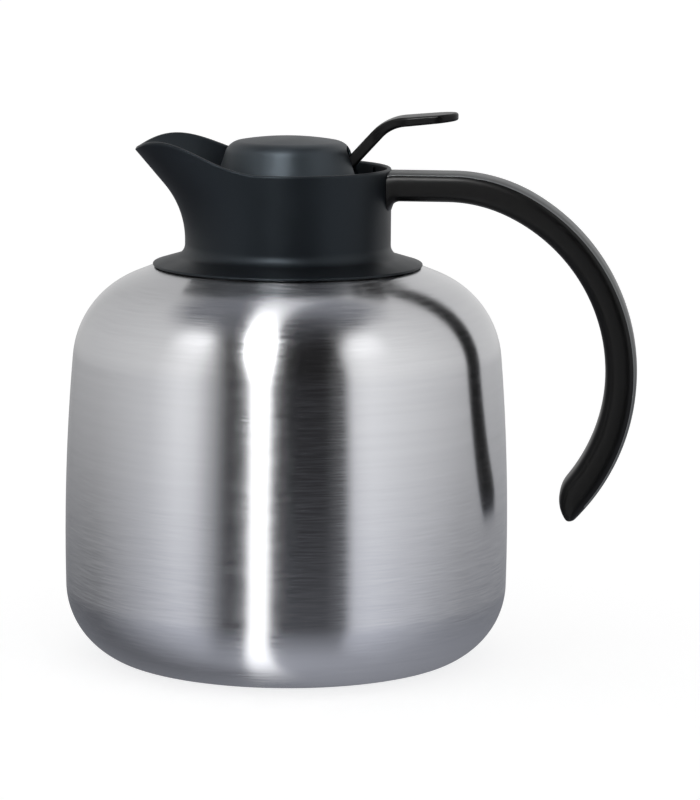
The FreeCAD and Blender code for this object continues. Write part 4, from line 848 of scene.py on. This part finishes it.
# %% Finishes on the pieces
# Dome and lever have the slot of the collar in the record, but each has a shine of its own.
own_finish = {"stopper_dome": "satin_dome", "lever": "black_plastic"}
for subpart in frame["record"]["subparts"]:
    slots = nodes[subpart["node"]].data.materials
    slots.clear()
    slots.append(finishes[own_finish.get(subpart["node"], subpart["material_slot"])])
steel_body.data.materials.append(finishes["brushed_steel"])
beak_collar.data.materials.append(finishes["dark_plastic"])
handle_grip.data.materials.append(finishes["black_plastic"])
print("nodes with a finish:", sum(len(node.data.materials) for node in nodes.values()))

# %% [markdown]
# ## Painted highlight along the strip
# A fine light line follows both edges of the grey strip: a highlight on its rounded corner,
# painted into the colour. A separate sliver of mesh would do, but the strip already knows how
# far each point lies from its edge. That distance is stored as an attribute, and the finish
# mixes a lighter grey, the painted highlight, by it.

# %% Strip with its painted highlight
# The lighter grey is a painted highlight along both edges of the strip.
HIGHLIGHT_W, HIGHLIGHT_GREY = 0.5, (0.30, 0.31, 0.32, 1.0)
MIX_FACTOR, MIX_FIRST, MIX_SECOND, MIX_RESULT = 0, 6, 7, 2


def mix_colour(tree, factor, first, second, blend="MIX"):
    """Two colours mixed by a factor; each is a value or a socket."""
    node = tree.nodes.new("ShaderNodeMix")
    node.data_type = "RGBA"
    node.blend_type = blend
    for place, value in ((MIX_FACTOR, factor), (MIX_FIRST, first), (MIX_SECOND, second)):
        put(tree, node.inputs[place], value)
    return node.outputs[MIX_RESULT]


from_edge = np.abs(strip_across) * HALF_W - STRIP_HALF
highlight_share = np.pad(np.clip(from_edge / HIGHLIGHT_W + 1.0, 0.0, 1.0), ((1, 1), (0, 0)))
edge_highlight = handle_strip.data.attributes.new("edge_highlight", "FLOAT", "POINT")
edge_highlight.data.foreach_set("value", highlight_share.astype(np.float32).ravel())
highlighted_strip = finishes["grey_plastic"].copy()
highlighted_strip.name = "highlighted_strip"
strip_tree = highlighted_strip.node_tree
highlight_mask = strip_tree.nodes.new("ShaderNodeAttribute")
highlight_mask.attribute_name = "edge_highlight"
strip_colour = strip_tree.nodes["Principled BSDF"].inputs["Base Color"]
plain_grey = strip_colour.links[0].from_socket
# Painted highlight: the strip's grey is mixed towards the lighter grey near its edges.
highlighted_grey = mix_colour(strip_tree, highlight_mask.outputs["Fac"], plain_grey, HIGHLIGHT_GREY)
strip_tree.links.new(highlighted_grey, strip_colour)
handle_strip.data.materials.append(highlighted_strip)
print("points on the line:", int((highlight_share > 0).sum()))

# %% [markdown]
# ## Studio
# The photo is a product shot on white: a narrow strip light over the camera and two broad soft
# panels, which show as upright bands in the steel with dark gaps between them. Area lamps could
# stand in for them, but each band would have to be found by trial. A world that carries the
# bands by direction puts every level where the steel reflects it. Matt surfaces get an even
# soft light, and the camera sees plain white.

# %% Directions in the world
LAMP_BEARING, LAMP_LEAN, CEILING_LEAN = math.radians(-6.8), 0.078, -0.07
world = bpy.data.worlds.new("studio")
bpy.context.scene.world = world
world.use_nodes = True
sky = world.node_tree
direction = sky.nodes.new("ShaderNodeTexCoord")
parts = sky.nodes.new("ShaderNodeSeparateXYZ")
sky.links.new(direction.outputs["Generated"], parts.inputs["Vector"])
east, north, rise = (parts.outputs[axis] for axis in "XYZ")


def weighed(east_weight, north_weight):
    """Weighted sum of the two level components of the direction."""
    part = math_node(sky, "MULTIPLY", east, east_weight)
    return math_node(sky, "MULTIPLY_ADD", north, north_weight, part)


compass = math_node(sky, "ARCTAN2", east, math_node(sky, "MULTIPLY", north, -1.0))
lamp_ahead = weighed(math.sin(LAMP_BEARING), -math.cos(LAMP_BEARING))
lamp_level = weighed(math.cos(LAMP_BEARING), math.sin(LAMP_BEARING))
lamp_aside = math_node(sky, "MULTIPLY_ADD", math_node(sky, "ABSOLUTE", rise), LAMP_LEAN, lamp_level)
lamp_round = math_node(sky, "ARCTAN2", rise, lamp_ahead)
behind_lamp = math_node(sky, "LESS_THAN", lamp_ahead, 0.0)
leaning_rise = math_node(sky, "MULTIPLY_ADD", east, CEILING_LEAN, rise)
print("the strip light stands at bearing", round(math.degrees(LAMP_BEARING), 1))

# %% Light levels by angle
COOL = (0.95, 0.98, 1.09)


def by_turn(angle, stops, tint=CLEAR):
    """Light level by an angle in radians, with stops of (degrees, level) from -180 to 180."""
    share = math_node(sky, "ADD", math_node(sky, "DIVIDE", angle, 2 * math.pi), 0.5)
    return colour_ramp(sky, share, [
        ((degrees + 180) / 360, tuple(level * part for part in tint)) for degrees, level in stops])


def by_sine(sine, stops):
    """Light level by an angle given by its sine, with stops of (degrees, level) from -90 to 90."""
    share = math_node(sky, "MULTIPLY_ADD", sine, 0.5, 0.5)
    return colour_ramp(sky, share, [
        ((math.sin(math.radians(degrees)) + 1) / 2, (level,) * 3) for degrees, level in stops])


print("shaded light leans to", COOL)

# %% Panels, their heads and the dark gap
PANELS = [
    (-180, 0.68), (-150, 0.62), (-140, 0.68), (-90, 0.86), (-70, 0.94), (-52, 1.28), (-43, 1.18),
    (-33, 0.58), (-24, 0.24), (-17, 0.12), (35.5, 0.10), (41, 1.10), (50, 1.25), (70, 1.10),
    (90, 0.97), (110, 0.84), (140, 0.80), (180, 0.74),
]
HEADS = [
    (-180, 0.0), (-76, 0.0), (-66, 0.7), (-50, 0.7), (-42, 0.0),
    (42, 0.0), (48, 0.6), (64, 0.6), (74, 0.0), (180, 0.0),
]
HEAD_HEIGHTS = [(-90, 0.0), (30, 0.0), (38, 1.0), (50, 1.0), (57, 0.0), (90, 0.0)]
GAP_ACROSS = [(-90, 1.0), (-24, 1.0), (-16, 0.15), (33, 0.15), (39, 1.0), (90, 1.0)]
heads = mix_colour(sky, 1.0, by_turn(compass, HEADS), by_sine(rise, HEAD_HEIGHTS), "MULTIPLY")
walls = mix_colour(sky, 1.0, by_turn(compass, PANELS), heads, "ADD")
gap = math_node(sky, "MAXIMUM", by_sine(lamp_aside, GAP_ACROSS), behind_lamp)
walls = mix_colour(sky, 1.0, walls, gap, "MULTIPLY")
print("panel stops:", len(PANELS), "head stops:", len(HEADS))

# %% Ceiling and ground
CEILING = [
    (-180, 0.35), (-135, 0.25), (-60, 0.17), (-30, 0.10),
    (50, 0.06), (80, 0.15), (110, 0.25), (180, 0.35),
]
LOW_SHADE = [
    (-180, 0.25), (-110, 0.17), (-90, 0.34), (-70, 0.60), (-40, 0.60),
    (40, 0.70), (60, 0.62), (90, 0.40), (110, 0.30), (180, 0.25),
]
GROUND = [
    (-180, 0.36), (-120, 0.16), (-60, 0.42), (0, 0.55), (60, 0.50), (110, 0.42), (180, 0.40),
]
CEILING_FROM = [(-90, 0.0), (52, 0.0), (62, 1.0), (90, 1.0)]
LOW_FROM = [(-90, 1.0), (-13, 1.0), (-3, 0.0), (90, 0.0)]
GROUND_FROM = [(-90, 1.0), (-70, 1.0), (-9, 0.0), (90, 0.0)]
ceiling = by_turn(compass, CEILING, COOL)
room = mix_colour(sky, by_sine(leaning_rise, CEILING_FROM), walls, ceiling)
shaded = mix_colour(sky, 1.0, room, by_turn(compass, LOW_SHADE, COOL), "MULTIPLY")
room = mix_colour(sky, by_sine(rise, LOW_FROM), room, shaded)
room = mix_colour(sky, by_sine(rise, GROUND_FROM), room, by_turn(compass, GROUND, COOL))
print("ceiling stops:", len(CEILING), "ground stops:", len(GROUND))

# %% Strip light and rays
STRIP_ACROSS = [(-90, 0.0), (-7, 0.0), (-3.8, 1.0), (3.2, 1.0), (6, 0.0), (90, 0.0)]
STRIP_ROUND = [
    (-180, 0.0), (-110, 0.0), (-90, 0.5), (-65, 1.5), (-25, 1.9), (-8, 1.8), (2, 2.3), (15, 3.4),
    (28, 8.0), (36, 28.0), (50, 28.0), (58, 7.0), (70, 2.2), (90, 1.3), (105, 0.75), (130, 0.65),
    (145, 0.0), (180, 0.0),
]
SOFT_LIGHT, WHITE = (0.62, 0.62, 0.62, 1.0), (1.0, 1.0, 1.0, 1.0)
across, along_strip = by_sine(lamp_aside, STRIP_ACROSS), by_turn(lamp_round, STRIP_ROUND)
strip_light = mix_colour(sky, 1.0, across, along_strip, "MULTIPLY")
lights = mix_colour(sky, 1.0, room, strip_light, "ADD")
rays = sky.nodes.new("ShaderNodeLightPath")
reflected = mix_colour(sky, rays.outputs["Is Glossy Ray"], SOFT_LIGHT, lights)
seen = mix_colour(sky, rays.outputs["Is Camera Ray"], reflected, WHITE)
sky.links.new(seen, sky.nodes["Background"].inputs["Color"])
sky.nodes["Background"].inputs["Strength"].default_value = 1.0
print("strip stops:", len(STRIP_ROUND))

# %% [markdown]
# ## Floor
# The jug stands on a pale studio floor that runs into the white behind it. A shadow catcher
# would keep only the shadow, but a plain floor that glows a little for the camera looks the
# same and needs no second picture. Reflections leave it out and see the ground of the world.

# %% Floor
FLOOR_HALF, FLOOR_DROP, FLOOR_GREY, FLOOR_GLOW = 6.0, 0.0002, 0.45, 0.74
edges = [-FLOOR_HALF, FLOOR_HALF]
floor_grid = np.stack([*np.meshgrid(edges, edges), np.full((2, 2), -FLOOR_DROP)], axis=2)
floor = grids_to_object("floor", [(floor_grid, False, False)])
floor.visible_glossy = False
floor_finish = bpy.data.materials.new("pale floor")
floor_finish.use_nodes = True
floor_tree = floor_finish.node_tree
floor_tree.nodes.clear()
paint = floor_tree.nodes.new("ShaderNodeBsdfDiffuse")
paint.inputs["Color"].default_value = (FLOOR_GREY, FLOOR_GREY, FLOOR_GREY, 1.0)
glow = floor_tree.nodes.new("ShaderNodeEmission")
glow.inputs["Color"].default_value = WHITE
floor_rays = floor_tree.nodes.new("ShaderNodeLightPath")
glow_level = math_node(floor_tree, "MULTIPLY", floor_rays.outputs["Is Camera Ray"], FLOOR_GLOW)
floor_tree.links.new(glow_level, glow.inputs["Strength"])
total = floor_tree.nodes.new("ShaderNodeAddShader")
floor_tree.links.new(paint.outputs["BSDF"], total.inputs[0])
floor_tree.links.new(glow.outputs["Emission"], total.inputs[1])
floor_out = floor_tree.nodes.new("ShaderNodeOutputMaterial")
floor_tree.links.new(total.outputs["Shader"], floor_out.inputs["Surface"])
floor.data.materials.append(floor_finish)
print("floor half width:", FLOOR_HALF)
